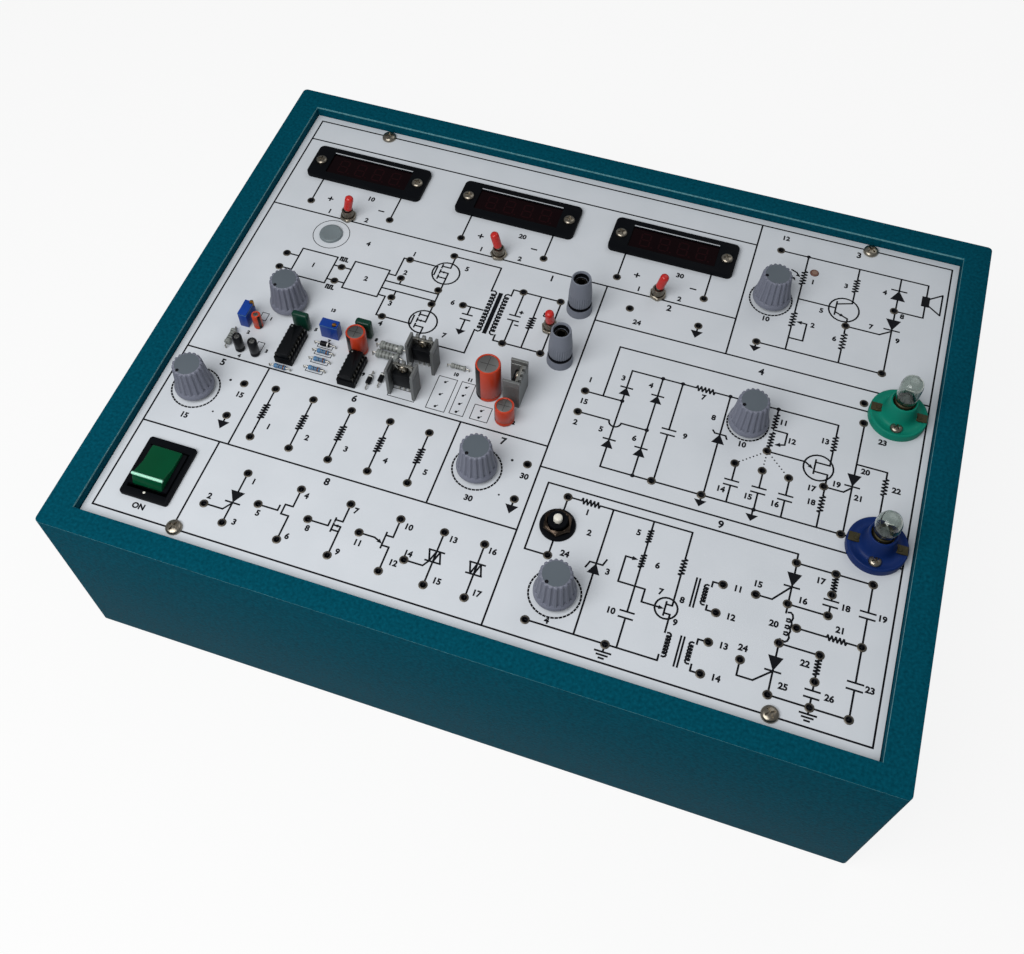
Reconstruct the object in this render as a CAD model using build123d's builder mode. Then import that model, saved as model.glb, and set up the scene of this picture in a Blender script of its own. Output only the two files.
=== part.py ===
from build123d import *
import os
from math import atan, cos, degrees, radians, sin

os.makedirs("parts", exist_ok=True)

# Bench trainer for power electronics. The origin is under the middle of the case, on the table.
# X runs to the right, Y to the back and Z up. All sizes are in millimetres.

# Case
case_width = 400
case_depth = 306.8
case_height = 109
foot_height = 5
sheet = 1.2
bend_radius = 2.4
rim_side = 13.5
rim_end = 12.2
panel_recess = 5.8
panel_thickness = 1.6
panel_gap = 0.4
ledge_width = 12
flange_width = 14
cover_gap = 0.4
foot_diameter = 18
foot_inset = 30

# Screws
screw_diameter = 3
screw_head = 8
screw_head_height = 2.2
screw_hole_gap = 0.15
panel_screw_spacing = 279
panel_screw_from_back = 5.1
panel_screw_from_front = 7.3
small_head = 6.4
small_head_height = 1.6

# Round pieces that are tiny or hidden are drawn with few flat sides
socket_sides = 6
screw_sides = 8
round_sides = 12

# Patch sockets for 2 mm plugs
socket_diameter = 4.3
socket_bore = 2.1
socket_length = 6
socket_proud = 0.4

# Panel meters
bezel_width = 68.4
bezel_depth = 23.2
bezel_height = 2.6
bezel_corner = 3
window_width = 47.8
window_depth = 14.6
window_sunk = 1
window_step = 1.5
window_flange = 0.8
meter_cut_gap = 0.4
meter_screw_spacing = 58.4
digit_inset = 1.9
digit_height = 6.5
board_thickness = 1.6

# Knobs and potentiometers
knob_skirt = 19.8
knob_skirt_height = 2.2
knob_clearance = 2.2
knob_height = 17.8
knob_grip_step = 0.7
knob_grip_slope = 2
knob_flutes = 18
flute_depth = 0.7
knob_wall = 2.6
knob_hollow_depth = 4.6
spindle_diameter = 6
spindle_gap = 0.06
spindle_in_knob = 10
pot_body = 13
pot_body_height = 9
pot_bushing = 7.8
pot_bushing_height = 5
nut_wall = 0.85
nut_height = 2
hole_gap = 0.1

# Toggle switches
toggle_body_length = 13
toggle_body_width = 8
toggle_body_height = 10
toggle_bushing = 6.35
toggle_bushing_height = 8
toggle_mouth = 4.7
toggle_pivot_height = 5.2
toggle_ball = 3.9
toggle_rod = 2.2
sleeve_diameter = 4.6
sleeve_start = 4.6
sleeve_length = 9.4
sleeve_tip = 1
toggle_lean = 13

# Binding posts for 4 mm plugs
post_collar = 13.4
post_collar_height = 5
post_height = 25
post_flange = 10
post_flange_height = 1
post_stud = 6
post_bore = 4
post_bore_depth = 13
post_stud_top = 22
post_tail = 4
post_tail_length = 12
post_cap_start = 6.3
post_cap_wide = 12.7
post_cap_top = 10.1
post_cap_mouth = 7
post_cap_gap = 0.15

# Rocker switch
rocker_bezel_side = 2.4
rocker_bezel_end = 4
rocker_bezel_height = 2
rocker_bezel_corner = 1.5
rocker_width = 20.2
rocker_half = 11.2
rocker_ridge = 9.8
rocker_ridge_height = 6.6
rocker_ridge_band = 1.6
rocker_middle_height = 5.4
rocker_lean = 11
rocker_keel = 5
rocker_side_gap = 0.3
rocker_end_gap = 1.05
rocker_body_side = 1.6
rocker_body_end = 2.8
rocker_body_height = 18
rocker_cavity_depth = 9
rocker_pin = 3
rocker_pin_length = 1

# Push-to-reset breaker
breaker_flange = 17
breaker_flange_height = 1.4
breaker_nut_height = 2.6
breaker_bushing = 9.4
breaker_bushing_height = 6
breaker_button = 4.2
breaker_button_gap = 0.15
breaker_button_top = 8.5
breaker_bore_below = 8
breaker_body_width = 32
breaker_body_depth = 14
breaker_body_height = 26

# Lamp holders with screw-in bulbs
lamp_base_ring = 7.25
lamp_base_height = 4
lamp_rim = 2
lamp_rim_height = 2
lamp_boss_wall = 1.3
lamp_boss_height = 15
lamp_shell_wall = 0.65
lamp_floor = 3
lamp_thread = 9.6
lamp_thread_gap = 0.1
lamp_shell_height = 10
lamp_screw_head = 5
lamp_screw_gap = 0.15
tag_width = 4.5
tag_gap = 0.9
tag_thickness = 0.8
bulb_base_height = 12.3
bulb_sides = 16
bulb_dome = 2.4

# Light sensor and blanking plug
sensor_diameter = 4.6
sensor_proud = 0.5
sensor_depth = 3
plug_head = 12.8
plug_head_height = 1.6
plug_stem = 9.4
plug_stem_length = 5

# Parts soldered to the face of the panel
lead = 0.6
solder_gap = 0.4
dip_pitch = 2.54
dip_width = 9.5
dip_slot = 4
dip_socket_height = 4.4
dip_leg = 0.6
dip_leg_thickness = 0.4
chip_width = 6.6
chip_height = 3.4
trimmer_height = 10
trimmer_screw_diameter = 2.2
trimmer_screw_proud = 0.6
trimmer_screw_length = 3
trimmer_slot = 0.5
block_corner = 1
sink_side_gap = 0.7
sink_depth = 8.6
sink_height = 20
sink_wall = 1.6
sink_slots = 4
sink_slot_pitch = 3.4
sink_slot_depth = 3
transistor_width = 10
transistor_depth = 4.6
transistor_tab = 1.3
transistor_tab_height = 5
transistor_body = 9
transistor_start = 5

# Inside the case
transformer_width = 76
transformer_depth = 54
transformer_height = 64
transformer_ear = 10
transformer_foot = 2
transformer_core = 32
transformer_winding = 50
transformer_winding_start = 12
transformer_corner = 6
supply_width = 110
supply_depth = 80
supply_post = 6
supply_post_inset = 10
supply_post_height = 8
supply_can = 22
supply_can_pitch = 34
supply_can_height = 36
speaker_diameter = 28
speaker_rim = 2
speaker_cone = 5
speaker_magnet = 14
speaker_magnet_height = 4
inlet_height = 30
inlet_from_middle = -120
inlet_flange_width = 50
inlet_flange_height = 25
inlet_flange_thickness = 2
inlet_body_width = 28
inlet_body_height = 20.5
inlet_body_depth = 18
inlet_cavity_width = 24.4
inlet_cavity_height = 16.8
inlet_cavity_depth = 16
inlet_screw_spacing = 40
inlet_screw_head_height = 0.4
inlet_pin_spacing = 14
inlet_pin_thickness = 2
inlet_pin_width = 4
inlet_pin_length = 12
inlet_earth_offset = 4

# Derived heights and openings
rim_z = foot_height + case_height
panel_top = rim_z - panel_recess
panel_bottom = panel_top - panel_thickness
inner_width = case_width - 2 * sheet
inner_depth = case_depth - 2 * sheet
opening_width = case_width - 2 * rim_side
opening_depth = case_depth - 2 * rim_end
floor_z = foot_height + sheet
screw_hole = screw_diameter + 2 * screw_hole_gap
meter_cut = 2 * (window_step + meter_cut_gap)
rocker_opening = 2 * (rocker_half + rocker_end_gap)
rocker_body_width = rocker_width + 2 * rocker_body_side
rocker_body_depth = rocker_opening + 2 * rocker_body_end
lamp_bore = lamp_thread + 2 * lamp_shell_wall
lamp_boss = lamp_bore + 2 * lamp_boss_wall
lamp_base = lamp_boss + 2 * lamp_base_ring
lamp_screw_offset = (lamp_boss + lamp_screw_head) / 2 + lamp_screw_gap
tag_start = lamp_boss / 2 + tag_gap
tag_end = lamp_base / 2 - tag_gap
sink_width = transistor_width + 2 * (sink_side_gap + sink_wall)

# Places on the panel are measured from the case's front left corner
layout_left = -case_width / 2
layout_front = -case_depth / 2

meters = [(60.9, 258), (150, 258), (238.1, 258)]

# Each knob's centre and the direction that its dot points to, in degrees from +X
knobs = {
    "pwm": (56.6, 158.1, 240),
    "dc_left": (34, 94.2, 240),
    "dc_right": (183, 94.2, 240),
    "inverter": (237.5, 43.9, 240),
    "flasher": (300, 160, 222),
    "alarm": (295, 240.4, 205),
}

# Each toggle's centre and the direction that its lever leans to at rest
toggles = [(62, 224.4, 0), (149.8, 224.4, 180), (238.1, 224.4, 0), (191, 185.3, 270)]

posts = [(201.7, 202.3), (201.7, 167.7)]
rocker_place = (39.9, 44.2)
breaker_place = (228.6, 77)
sensor_place = (313.5, 265.2)
plug_place = (57.9, 209.7)
green_lamp_place = (368.2, 186.3)
blue_lamp_place = (369.5, 111.8)
speaker_place = (326, 251)
transformer_place = (-110, 60, floor_z)
supply_place = (30, 40, floor_z)

socket_rows = [
    # Meters
    *[(x + side * 23.6, 229.4) for x, y in meters for side in (-1, 1)],
    # Pulse width controller
    (40.5, 189.7), (40.5, 179.8), (72.6, 189.7), (72.6, 179.8),
    *[(105.6, y) for y in (206, 192.5, 178.7, 165.4)],
    (127.3, 216), (127.3, 191), (127.3, 181), (143.2, 185.6),
    *[(x, y) for x in (170.6, 191.1) for y in (203.8, 168.5)],
    # Fixed supply
    (226.6, 211), (263.2, 211),
    # Light alarm
    (293.6, 275.3), (293.6, 210.5), (357.3, 252.5), (335.1, 234.9), (357.3, 210.5),
    # Flasher
    (219.3, 153.5), (219.3, 140.5), (263.6, 113.8), (287.7, 113.8), (312.1, 147.3),
    *[(x, 135.8) for x in (298.9, 312.1, 324.8)],
    (341.3, 136.4), (353.2, 113.8), (353.5, 177.9), (351.8, 189.6),
    # Row of resistors
    *[(72.4 + 20.5 * step, y) for step in range(5) for y in (105.8, 76.1)],
    # Variable supplies
    *[(x, y) for x in (56, 205.2) for y in (103.8, 83.8)],
    # Thyristors and transistors
    (80.4, 57), (67.8, 35.5), (80.4, 29), (108.2, 57), (92.1, 43.3), (108.2, 29),
    (133.5, 57), (117.5, 43.3), (133.5, 29), (158.6, 57), (142.8, 44.4), (158.6, 29),
    (180.2, 57), (167.5, 37.9), (180.2, 29), (199.8, 57), (199.8, 29),
    # Inverter
    (228.8, 92.9), (228.8, 60.9), (228.8, 27.6), (265.4, 27.6),
    *[(307.7, y) for y in (71.8, 57.5, 42.9, 27.7)],
    (322.5, 71.7), (322.5, 39.4),
    *[(336.8, y) for y in (92.9, 71.7, 52.2, 27.7)], (342.7, 61.5),
    *[(354.7, y) for y in (92.9, 82.2, 71.7, 52.2, 39.6, 27.7)],
    *[(371.3, y) for y in (92.9, 61.6, 27.7)],
]


def spot(place):
    """A place of the panel layout as X and Y of the whole object."""
    return layout_left + place[0], layout_front + place[1]


def on_panel(place, height=0, turn=0):
    """The plane at a height above the panel's face, with its x axis turned by some degrees."""
    direction = (cos(radians(turn)), sin(radians(turn)), 0)
    return Plane((*spot(place), panel_top + height), x_dir=direction, z_dir=(0, 0, 1))


def save(builder, name):
    """Name a finished piece and write it."""
    builder.part.label = name
    export_step(builder.part, f"parts/{name}.step")


def round_rod(diameter):
    """A round section drawn inside its diameter."""
    return RegularPolygon(diameter / 2, round_sides)


def round_hole(diameter, gap=hole_gap):
    """A round hole drawn outside a diameter and its clearance."""
    return RegularPolygon(diameter / 2 + gap, round_sides, major_radius=False, mode=Mode.SUBTRACT)


def nut_ring(bushing):
    """The section of a hexagon nut round a bushing."""
    RegularPolygon(bushing / 2 + nut_wall, 6, major_radius=False)
    round_hole(bushing)


# Where the screws go
panel_screws_at = [
    (side * panel_screw_spacing / 2, y)
    for side in (-1, 1)
    for y in (opening_depth / 2 - panel_screw_from_back, panel_screw_from_front - opening_depth / 2)
]
cover_screws_at = [
    (side * (inner_width - flange_width) / 2, end * (inner_depth / 2 - foot_inset))
    for side in (-1, 1)
    for end in (-1, 1)
]
meter_screws_at = [
    (x + side * meter_screw_spacing / 2, y) for x, y in meters for side in (-1, 1)
]
lamp_screws_at = [(x, y - lamp_screw_offset) for x, y in (green_lamp_place, blue_lamp_place)]
inlet_plane = Plane(
    (inlet_from_middle, case_depth / 2, foot_height + inlet_height), x_dir=(-1, 0, 0), z_dir=(0, 1, 0)
)

# Cabinet: a folded steel box, open below, with a rim round its open top
with BuildPart() as cabinet:
    with BuildSketch(Plane.XY.offset(foot_height)):
        RectangleRounded(case_width, case_depth, bend_radius)
    extrude(amount=case_height)
    with BuildSketch(Plane.XY.offset(foot_height)):
        Rectangle(inner_width, inner_depth)
    extrude(amount=case_height - sheet, mode=Mode.SUBTRACT)
    with BuildSketch(Plane.XY.offset(rim_z)):
        Rectangle(opening_width, opening_depth)
    extrude(amount=-sheet, mode=Mode.SUBTRACT)
    with BuildSketch(inlet_plane):
        Rectangle(inlet_body_width + 2 * hole_gap, inlet_body_height + 2 * hole_gap)
        with GridLocations(inlet_screw_spacing, 0, 2, 1):
            RegularPolygon(screw_hole / 2, screw_sides)
    extrude(amount=-sheet, mode=Mode.SUBTRACT)
save(cabinet, "cabinet")

# Welded frames: an angle under the rim with a ledge for the panel, and a flat frame for the cover
with BuildPart() as welded_frames:
    with BuildSketch(Plane.XY.offset(panel_bottom)):
        Rectangle(opening_width + 2 * sheet, opening_depth + 2 * sheet)
        Rectangle(opening_width, opening_depth, mode=Mode.SUBTRACT)
    extrude(amount=rim_z - sheet - panel_bottom)
    with BuildSketch(Plane.XY.offset(panel_bottom)):
        Rectangle(opening_width + 2 * sheet, opening_depth + 2 * sheet)
        Rectangle(opening_width - 2 * ledge_width, opening_depth - 2 * ledge_width, mode=Mode.SUBTRACT)
        with Locations(*panel_screws_at):
            RegularPolygon(screw_hole / 2, screw_sides, mode=Mode.SUBTRACT)
    extrude(amount=-sheet)
    with BuildSketch(Plane.XY.offset(floor_z)):
        Rectangle(inner_width, inner_depth)
        Rectangle(inner_width - 2 * flange_width, inner_depth - 2 * flange_width, mode=Mode.SUBTRACT)
        with Locations(*cover_screws_at):
            RegularPolygon(screw_hole / 2, screw_sides, mode=Mode.SUBTRACT)
    extrude(amount=sheet)
save(welded_frames, "welded_frames")

# Bottom cover: a flat sheet inside the walls, under the flat frame
with BuildPart() as bottom_cover:
    with BuildSketch(Plane.XY.offset(foot_height)):
        Rectangle(inner_width - 2 * cover_gap, inner_depth - 2 * cover_gap)
        with Locations(*cover_screws_at):
            RegularPolygon(screw_hole / 2, screw_sides, mode=Mode.SUBTRACT)
    extrude(amount=sheet)
save(bottom_cover, "bottom_cover")

# Rubber feet: tapered pads glued under the cover
with BuildPart() as rubber_feet:
    with BuildSketch(Plane.XY.offset(foot_height)):
        with GridLocations(case_width - 2 * foot_inset, case_depth - 2 * foot_inset, 2, 2):
            Circle(foot_diameter / 2)
    extrude(amount=-foot_height, taper=8)
save(rubber_feet, "rubber_feet")

# Cover screws: heads below the cover, shanks through its holes into the flange
with BuildPart() as cover_screws:
    with BuildSketch(Plane.XY.offset(foot_height)):
        with Locations(*cover_screws_at):
            RegularPolygon(small_head / 2, screw_sides)
    extrude(amount=-small_head_height)
    with BuildSketch(Plane.XY.offset(foot_height)):
        with Locations(*cover_screws_at):
            RegularPolygon(screw_diameter / 2, screw_sides)
    extrude(amount=3 * sheet)
save(cover_screws, "cover_screws")

# Front panel: the white board that carries the sockets and the controls
with BuildPart() as front_panel:
    with BuildSketch(Plane.XY.offset(panel_bottom)):
        Rectangle(opening_width - 2 * panel_gap, opening_depth - 2 * panel_gap)
        with Locations(*[spot(place) for place in socket_rows]):
            RegularPolygon(socket_diameter / 2, socket_sides, mode=Mode.SUBTRACT)
        with Locations(*panel_screws_at, *[spot(place) for place in (*meter_screws_at, *lamp_screws_at)]):
            RegularPolygon(screw_hole / 2, screw_sides, mode=Mode.SUBTRACT)
        with Locations(*[spot(place) for place in meters]):
            Rectangle(window_width + meter_cut, window_depth + meter_cut, mode=Mode.SUBTRACT)
        with Locations(*[spot((x, y)) for x, y, turn in knobs.values()]):
            round_hole(pot_bushing)
        with Locations(*[spot((x, y)) for x, y, turn in toggles]):
            round_hole(toggle_bushing)
        with Locations(*[spot(place) for place in posts]):
            round_hole(post_tail)
        with Locations(spot(rocker_place)):
            Rectangle(rocker_body_width + 2 * hole_gap, rocker_body_depth + 2 * hole_gap, mode=Mode.SUBTRACT)
        with Locations(spot(breaker_place)):
            round_hole(breaker_bushing)
        with Locations(spot(sensor_place)):
            round_hole(sensor_diameter)
        with Locations(spot(plug_place)):
            round_hole(plug_stem)
    extrude(amount=panel_thickness)
save(front_panel, "front_panel")

# Panel screws: pan heads on the panel, the meter bezels, the lamp holders and the inlet
with BuildPart() as panel_screws:
    with BuildSketch(Plane.XY.offset(panel_top)):
        with Locations(*panel_screws_at):
            Circle(screw_head / 2)
    extrude(amount=screw_head_height)
    with BuildSketch(Plane.XY.offset(panel_top)):
        with Locations(*panel_screws_at):
            RegularPolygon(screw_diameter / 2, screw_sides)
    extrude(amount=-panel_thickness - 3 * sheet)
    for heads, seat, head, under in (
        (meter_screws_at, bezel_height, small_head, digit_height + 2),
        (lamp_screws_at, lamp_base_height, lamp_screw_head, 2),
    ):
        with BuildSketch(Plane.XY.offset(panel_top + seat)):
            with Locations(*[spot(place) for place in heads]):
                RegularPolygon(head / 2, screw_sides)
        extrude(amount=small_head_height)
        with BuildSketch(Plane.XY.offset(panel_top + seat)):
            with Locations(*[spot(place) for place in heads]):
                RegularPolygon(screw_diameter / 2, screw_sides)
        extrude(amount=-(seat + panel_thickness + under))
    with BuildSketch(inlet_plane.offset(inlet_flange_thickness)):
        with GridLocations(inlet_screw_spacing, 0, 2, 1):
            RegularPolygon(small_head / 2, screw_sides)
    extrude(amount=inlet_screw_head_height)
    with BuildSketch(inlet_plane.offset(inlet_flange_thickness)):
        with GridLocations(inlet_screw_spacing, 0, 2, 1):
            RegularPolygon(screw_diameter / 2, screw_sides)
    extrude(amount=-(inlet_flange_thickness + 3 * sheet))
save(panel_screws, "panel_screws")

# Patch sockets: plated tubes through the panel
with BuildPart() as sockets:
    with BuildSketch(Plane.XY.offset(panel_top + socket_proud)):
        with Locations(*[spot(place) for place in socket_rows]):
            RegularPolygon(socket_diameter / 2, socket_sides)
            RegularPolygon(socket_bore / 2, socket_sides, mode=Mode.SUBTRACT)
    extrude(amount=-socket_length)
save(sockets, "sockets")

# Meter bezels: frames on the panel with an opening for the window
with BuildPart() as meter_bezels:
    for place in meters:
        with BuildSketch(on_panel(place)):
            RectangleRounded(bezel_width, bezel_depth, bezel_corner)
            Rectangle(window_width, window_depth, mode=Mode.SUBTRACT)
            with GridLocations(meter_screw_spacing, 0, 2, 1):
                RegularPolygon(screw_hole / 2, screw_sides, mode=Mode.SUBTRACT)
        extrude(amount=bezel_height)
save(meter_bezels, "meter_bezels")

# Meter windows: stepped red plates held between the bezel and the display
with BuildPart() as meter_windows:
    for place in meters:
        with BuildSketch(on_panel(place)):
            Rectangle(window_width - 2 * hole_gap, window_depth - 2 * hole_gap)
        extrude(amount=bezel_height - window_sunk)
        with BuildSketch(on_panel(place)):
            Rectangle(window_width + 2 * window_step, window_depth + 2 * window_step)
        extrude(amount=-window_flange)
save(meter_windows, "meter_windows")

# Meter displays: a digit block under the window on a board that the meter screws hold
with BuildPart() as meter_displays:
    for place in meters:
        with BuildSketch(on_panel(place, -window_flange)):
            Rectangle(window_width - 2 * digit_inset, window_depth - 2 * digit_inset)
        extrude(amount=-digit_height)
        with BuildSketch(on_panel(place, -window_flange - digit_height)):
            Rectangle(bezel_width, bezel_depth)
            with GridLocations(meter_screw_spacing, 0, 2, 1):
                RegularPolygon(screw_hole / 2, screw_sides, mode=Mode.SUBTRACT)
        extrude(amount=-board_thickness)
save(meter_displays, "meter_displays")

# Potentiometers: square bodies under the panel with round bushings through it
with BuildPart() as potentiometers:
    for x, y, turn in knobs.values():
        with BuildSketch(on_panel((x, y), -panel_thickness)):
            Rectangle(pot_body, pot_body)
        extrude(amount=-pot_body_height)
        with BuildSketch(on_panel((x, y), -panel_thickness)):
            round_rod(pot_bushing)
        extrude(amount=panel_thickness + pot_bushing_height)
        with BuildSketch(on_panel((x, y), pot_bushing_height)):
            RegularPolygon(spindle_diameter / 2 + spindle_gap, round_sides, major_radius=False)
        extrude(amount=-pot_bushing_height - panel_thickness - pot_body_height / 2, mode=Mode.SUBTRACT)
save(potentiometers, "potentiometers")

# Knob: a tapered grip with cut flutes on a smooth skirt, hollow below to clear the nut
knob_grip = knob_skirt - 2 * knob_grip_step
knob_taper = degrees(atan(knob_grip_slope / (knob_height - knob_skirt_height)))
with BuildPart() as knob_pattern:
    with BuildSketch(Plane.XY.offset(knob_skirt_height)):
        RegularPolygon(knob_grip / 2, 2 * knob_flutes)
    extrude(amount=knob_height - knob_skirt_height)
    grip_sides = knob_pattern.faces().filter_by(Axis.Z, reverse=True)
    draft(grip_sides, Plane.XY.offset(knob_skirt_height), knob_taper)
    for flute in range(knob_flutes):
        around = radians(360 / knob_flutes * flute)
        outward = Vector(cos(around), sin(around), 0)
        lean = outward * -sin(radians(knob_taper)) + Vector(0, 0, cos(radians(knob_taper)))
        foot = outward * (knob_grip / 2) + Vector(0, 0, knob_skirt_height)
        with BuildSketch(Plane(foot, x_dir=outward.cross(Vector(0, 0, 1)), z_dir=lean)):
            RegularPolygon(flute_depth, 4)
        extrude(amount=knob_height, mode=Mode.SUBTRACT)
    with BuildSketch():
        Circle(knob_skirt / 2)
    extrude(amount=knob_skirt_height)
    with BuildSketch():
        round_rod(knob_skirt - 2 * knob_wall)
    extrude(amount=knob_hollow_depth, mode=Mode.SUBTRACT)
    with BuildSketch(Plane.XY.offset(knob_hollow_depth)):
        round_rod(spindle_diameter)
    extrude(amount=spindle_in_knob, mode=Mode.SUBTRACT)

# Each knob stands over its potentiometer, turned to its setting, on its own spindle
spindle_top = knob_clearance + knob_hollow_depth + spindle_in_knob
for name, (x, y, turn) in knobs.items():
    with BuildPart() as knob:
        with Locations(on_panel((x, y), knob_clearance, turn).location):
            add(knob_pattern.part)
    save(knob, f"knob_{name}")

    with BuildPart() as spindle:
        with BuildSketch(on_panel((x, y), spindle_top, turn)):
            round_rod(spindle_diameter)
        extrude(amount=-(spindle_top + panel_thickness + pot_body_height / 4))
    save(spindle, f"spindle_{name}")

# Nuts: on the bushings of the potentiometers, the toggles and the breaker
with BuildPart() as panel_nuts:
    for x, y, turn in knobs.values():
        with BuildSketch(on_panel((x, y))):
            nut_ring(pot_bushing)
        extrude(amount=nut_height)
    for x, y, turn in toggles:
        with BuildSketch(on_panel((x, y))):
            nut_ring(toggle_bushing)
        extrude(amount=nut_height)
    with BuildSketch(on_panel(breaker_place, breaker_flange_height)):
        nut_ring(breaker_bushing)
    extrude(amount=breaker_nut_height)
    with BuildSketch(on_panel(breaker_place)):
        Circle(breaker_flange / 2)
        round_hole(breaker_bushing)
    extrude(amount=breaker_flange_height)
save(panel_nuts, "panel_nuts")

# Toggle switches: bodies under the panel and bushings with an open mouth
with BuildPart() as toggle_bodies:
    for x, y, turn in toggles:
        with BuildSketch(on_panel((x, y), -panel_thickness, turn)):
            Rectangle(toggle_body_length, toggle_body_width)
        extrude(amount=-toggle_body_height)
        with BuildSketch(on_panel((x, y), -panel_thickness)):
            round_rod(toggle_bushing)
        extrude(amount=panel_thickness + toggle_bushing_height)
        with BuildSketch(on_panel((x, y), toggle_bushing_height)):
            round_rod(toggle_mouth)
        extrude(amount=-(toggle_bushing_height - toggle_pivot_height + toggle_ball), mode=Mode.SUBTRACT)
save(toggle_bodies, "toggle_bodies")

# Toggle levers: a ball and a rod with a push-on sleeve, leaning from the pivot
for number, (x, y, turn) in enumerate(toggles, 1):
    pivot = on_panel((x, y), toggle_pivot_height, turn)
    leaning = Plane(
        pivot.origin,
        x_dir=pivot.x_dir * cos(radians(toggle_lean)) - pivot.z_dir * sin(radians(toggle_lean)),
        z_dir=pivot.z_dir * cos(radians(toggle_lean)) + pivot.x_dir * sin(radians(toggle_lean)),
    )
    with BuildPart() as lever:
        with BuildSketch(leaning.offset(-toggle_ball / 2)):
            round_rod(toggle_ball)
        extrude(amount=toggle_ball)
        with BuildSketch(leaning):
            round_rod(toggle_rod)
        extrude(amount=sleeve_start)
        with BuildSketch(leaning.offset(sleeve_start)):
            round_rod(sleeve_diameter)
        extrude(amount=sleeve_length - sleeve_tip)
        with BuildSketch(leaning.offset(sleeve_start + sleeve_length - sleeve_tip)):
            round_rod(sleeve_diameter)
        extrude(amount=sleeve_tip, taper=40)
    save(lever, f"toggle_lever_{number}")

# Binding posts: a plastic collar on the panel
with BuildPart() as post_collars:
    for place in posts:
        with BuildSketch(on_panel(place)):
            Circle(post_collar / 2)
            round_hole(post_tail)
        extrude(amount=post_collar_height)
save(post_collars, "post_collars")

# Binding post studs: a brass flange on the collar, a tail through the panel and a bored stem
with BuildPart() as post_studs:
    for place in posts:
        with BuildSketch(on_panel(place, post_collar_height)):
            round_rod(post_flange)
        extrude(amount=post_flange_height)
        with BuildSketch(on_panel(place, post_collar_height)):
            round_rod(post_stud)
        extrude(amount=post_stud_top - post_collar_height)
        with BuildSketch(on_panel(place, post_collar_height)):
            round_rod(post_tail)
        extrude(amount=-(post_collar_height + panel_thickness + post_tail_length))
        with BuildSketch(on_panel(place, post_stud_top)):
            Circle(post_bore / 2)
        extrude(amount=-post_bore_depth, mode=Mode.SUBTRACT)
save(post_studs, "post_studs")

# Binding post caps: they screw up the stud and down on a bare wire
post_cap_taper = degrees(atan((post_cap_wide - post_cap_top) / 2 / (post_height - post_cap_start)))
for number, place in enumerate(posts, 1):
    with BuildPart() as cap:
        with BuildSketch(on_panel(place, post_cap_start)):
            RegularPolygon(post_cap_wide / 2, 2 * round_sides)
        extrude(amount=post_height - post_cap_start)
        draft(cap.faces().filter_by(Axis.Z, reverse=True), on_panel(place, post_cap_start), post_cap_taper)
        with BuildSketch(on_panel(place, post_cap_start)):
            RegularPolygon(post_stud / 2 + post_cap_gap, round_sides, major_radius=False)
        extrude(amount=post_stud_top - post_cap_start, mode=Mode.SUBTRACT)
        with BuildSketch(on_panel(place, post_height)):
            round_rod(post_cap_mouth)
        extrude(amount=-(post_height - post_stud_top), mode=Mode.SUBTRACT)
    save(cap, f"post_cap_{number}")

# Rocker switch frame: a bezel on the panel and a hollow body through it
with BuildPart() as rocker_frame:
    with BuildSketch(on_panel(rocker_place)):
        RectangleRounded(
            rocker_width + 2 * rocker_bezel_side,
            rocker_opening + 2 * rocker_bezel_end,
            rocker_bezel_corner,
        )
    extrude(amount=rocker_bezel_height)
    with BuildSketch(on_panel(rocker_place)):
        Rectangle(rocker_body_width, rocker_body_depth)
    extrude(amount=-rocker_body_height)
    with BuildSketch(on_panel(rocker_place, rocker_bezel_height)):
        Rectangle(rocker_width + 2 * rocker_side_gap, rocker_opening)
    extrude(amount=-(rocker_bezel_height + rocker_cavity_depth), mode=Mode.SUBTRACT)
    pin_side = Plane(on_panel(rocker_place).origin, x_dir=(0, 1, 0), z_dir=(1, 0, 0))
    with BuildSketch(pin_side):
        Circle(rocker_pin / 2 + spindle_gap)
    extrude(amount=rocker_width / 2 + rocker_pin_length + rocker_side_gap, both=True, mode=Mode.SUBTRACT)
save(rocker_frame, "rocker_frame")

# Rocker: a wedge with two ridges and a shallow dip, on stub pins, with its front end up
rocker_axis = Axis(on_panel(rocker_place).origin, (1, 0, 0))
with BuildPart() as rocker:
    with BuildSketch(pin_side):
        with BuildLine():
            Polyline(
                (-rocker_half, 0),
                (-rocker_ridge, rocker_ridge_height),
                (-rocker_ridge + rocker_ridge_band, rocker_ridge_height),
                (0, rocker_middle_height),
                (rocker_ridge - rocker_ridge_band, rocker_ridge_height),
                (rocker_ridge, rocker_ridge_height),
                (rocker_half, 0),
                (rocker_half / 2, -rocker_keel),
                (-rocker_half / 2, -rocker_keel),
                close=True,
            )
        make_face()
    extrude(amount=rocker_width / 2, both=True)
    with BuildSketch(pin_side):
        Circle(rocker_pin / 2)
    extrude(amount=rocker_width / 2 + rocker_pin_length, both=True)
rocker.part = rocker.part.rotate(rocker_axis, -rocker_lean)
save(rocker, "rocker")

# Breaker: a square body with a round bushing that guides the reset button
with BuildPart() as breaker_body:
    with BuildSketch(on_panel(breaker_place, -panel_thickness)):
        Rectangle(breaker_body_width, breaker_body_depth)
    extrude(amount=-breaker_body_height)
    with BuildSketch(on_panel(breaker_place, -panel_thickness)):
        round_rod(breaker_bushing)
    extrude(amount=panel_thickness + breaker_bushing_height)
    with BuildSketch(on_panel(breaker_place, breaker_bushing_height)):
        RegularPolygon(breaker_button / 2 + breaker_button_gap, round_sides, major_radius=False)
    extrude(amount=-(breaker_bushing_height + breaker_bore_below), mode=Mode.SUBTRACT)
save(breaker_body, "breaker_body")

with BuildPart() as breaker_button_part:
    with BuildSketch(on_panel(breaker_place, breaker_button_top)):
        round_rod(breaker_button)
    extrude(amount=-(breaker_button_top + breaker_bore_below - solder_gap))
save(breaker_button_part, "breaker_button")

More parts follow.
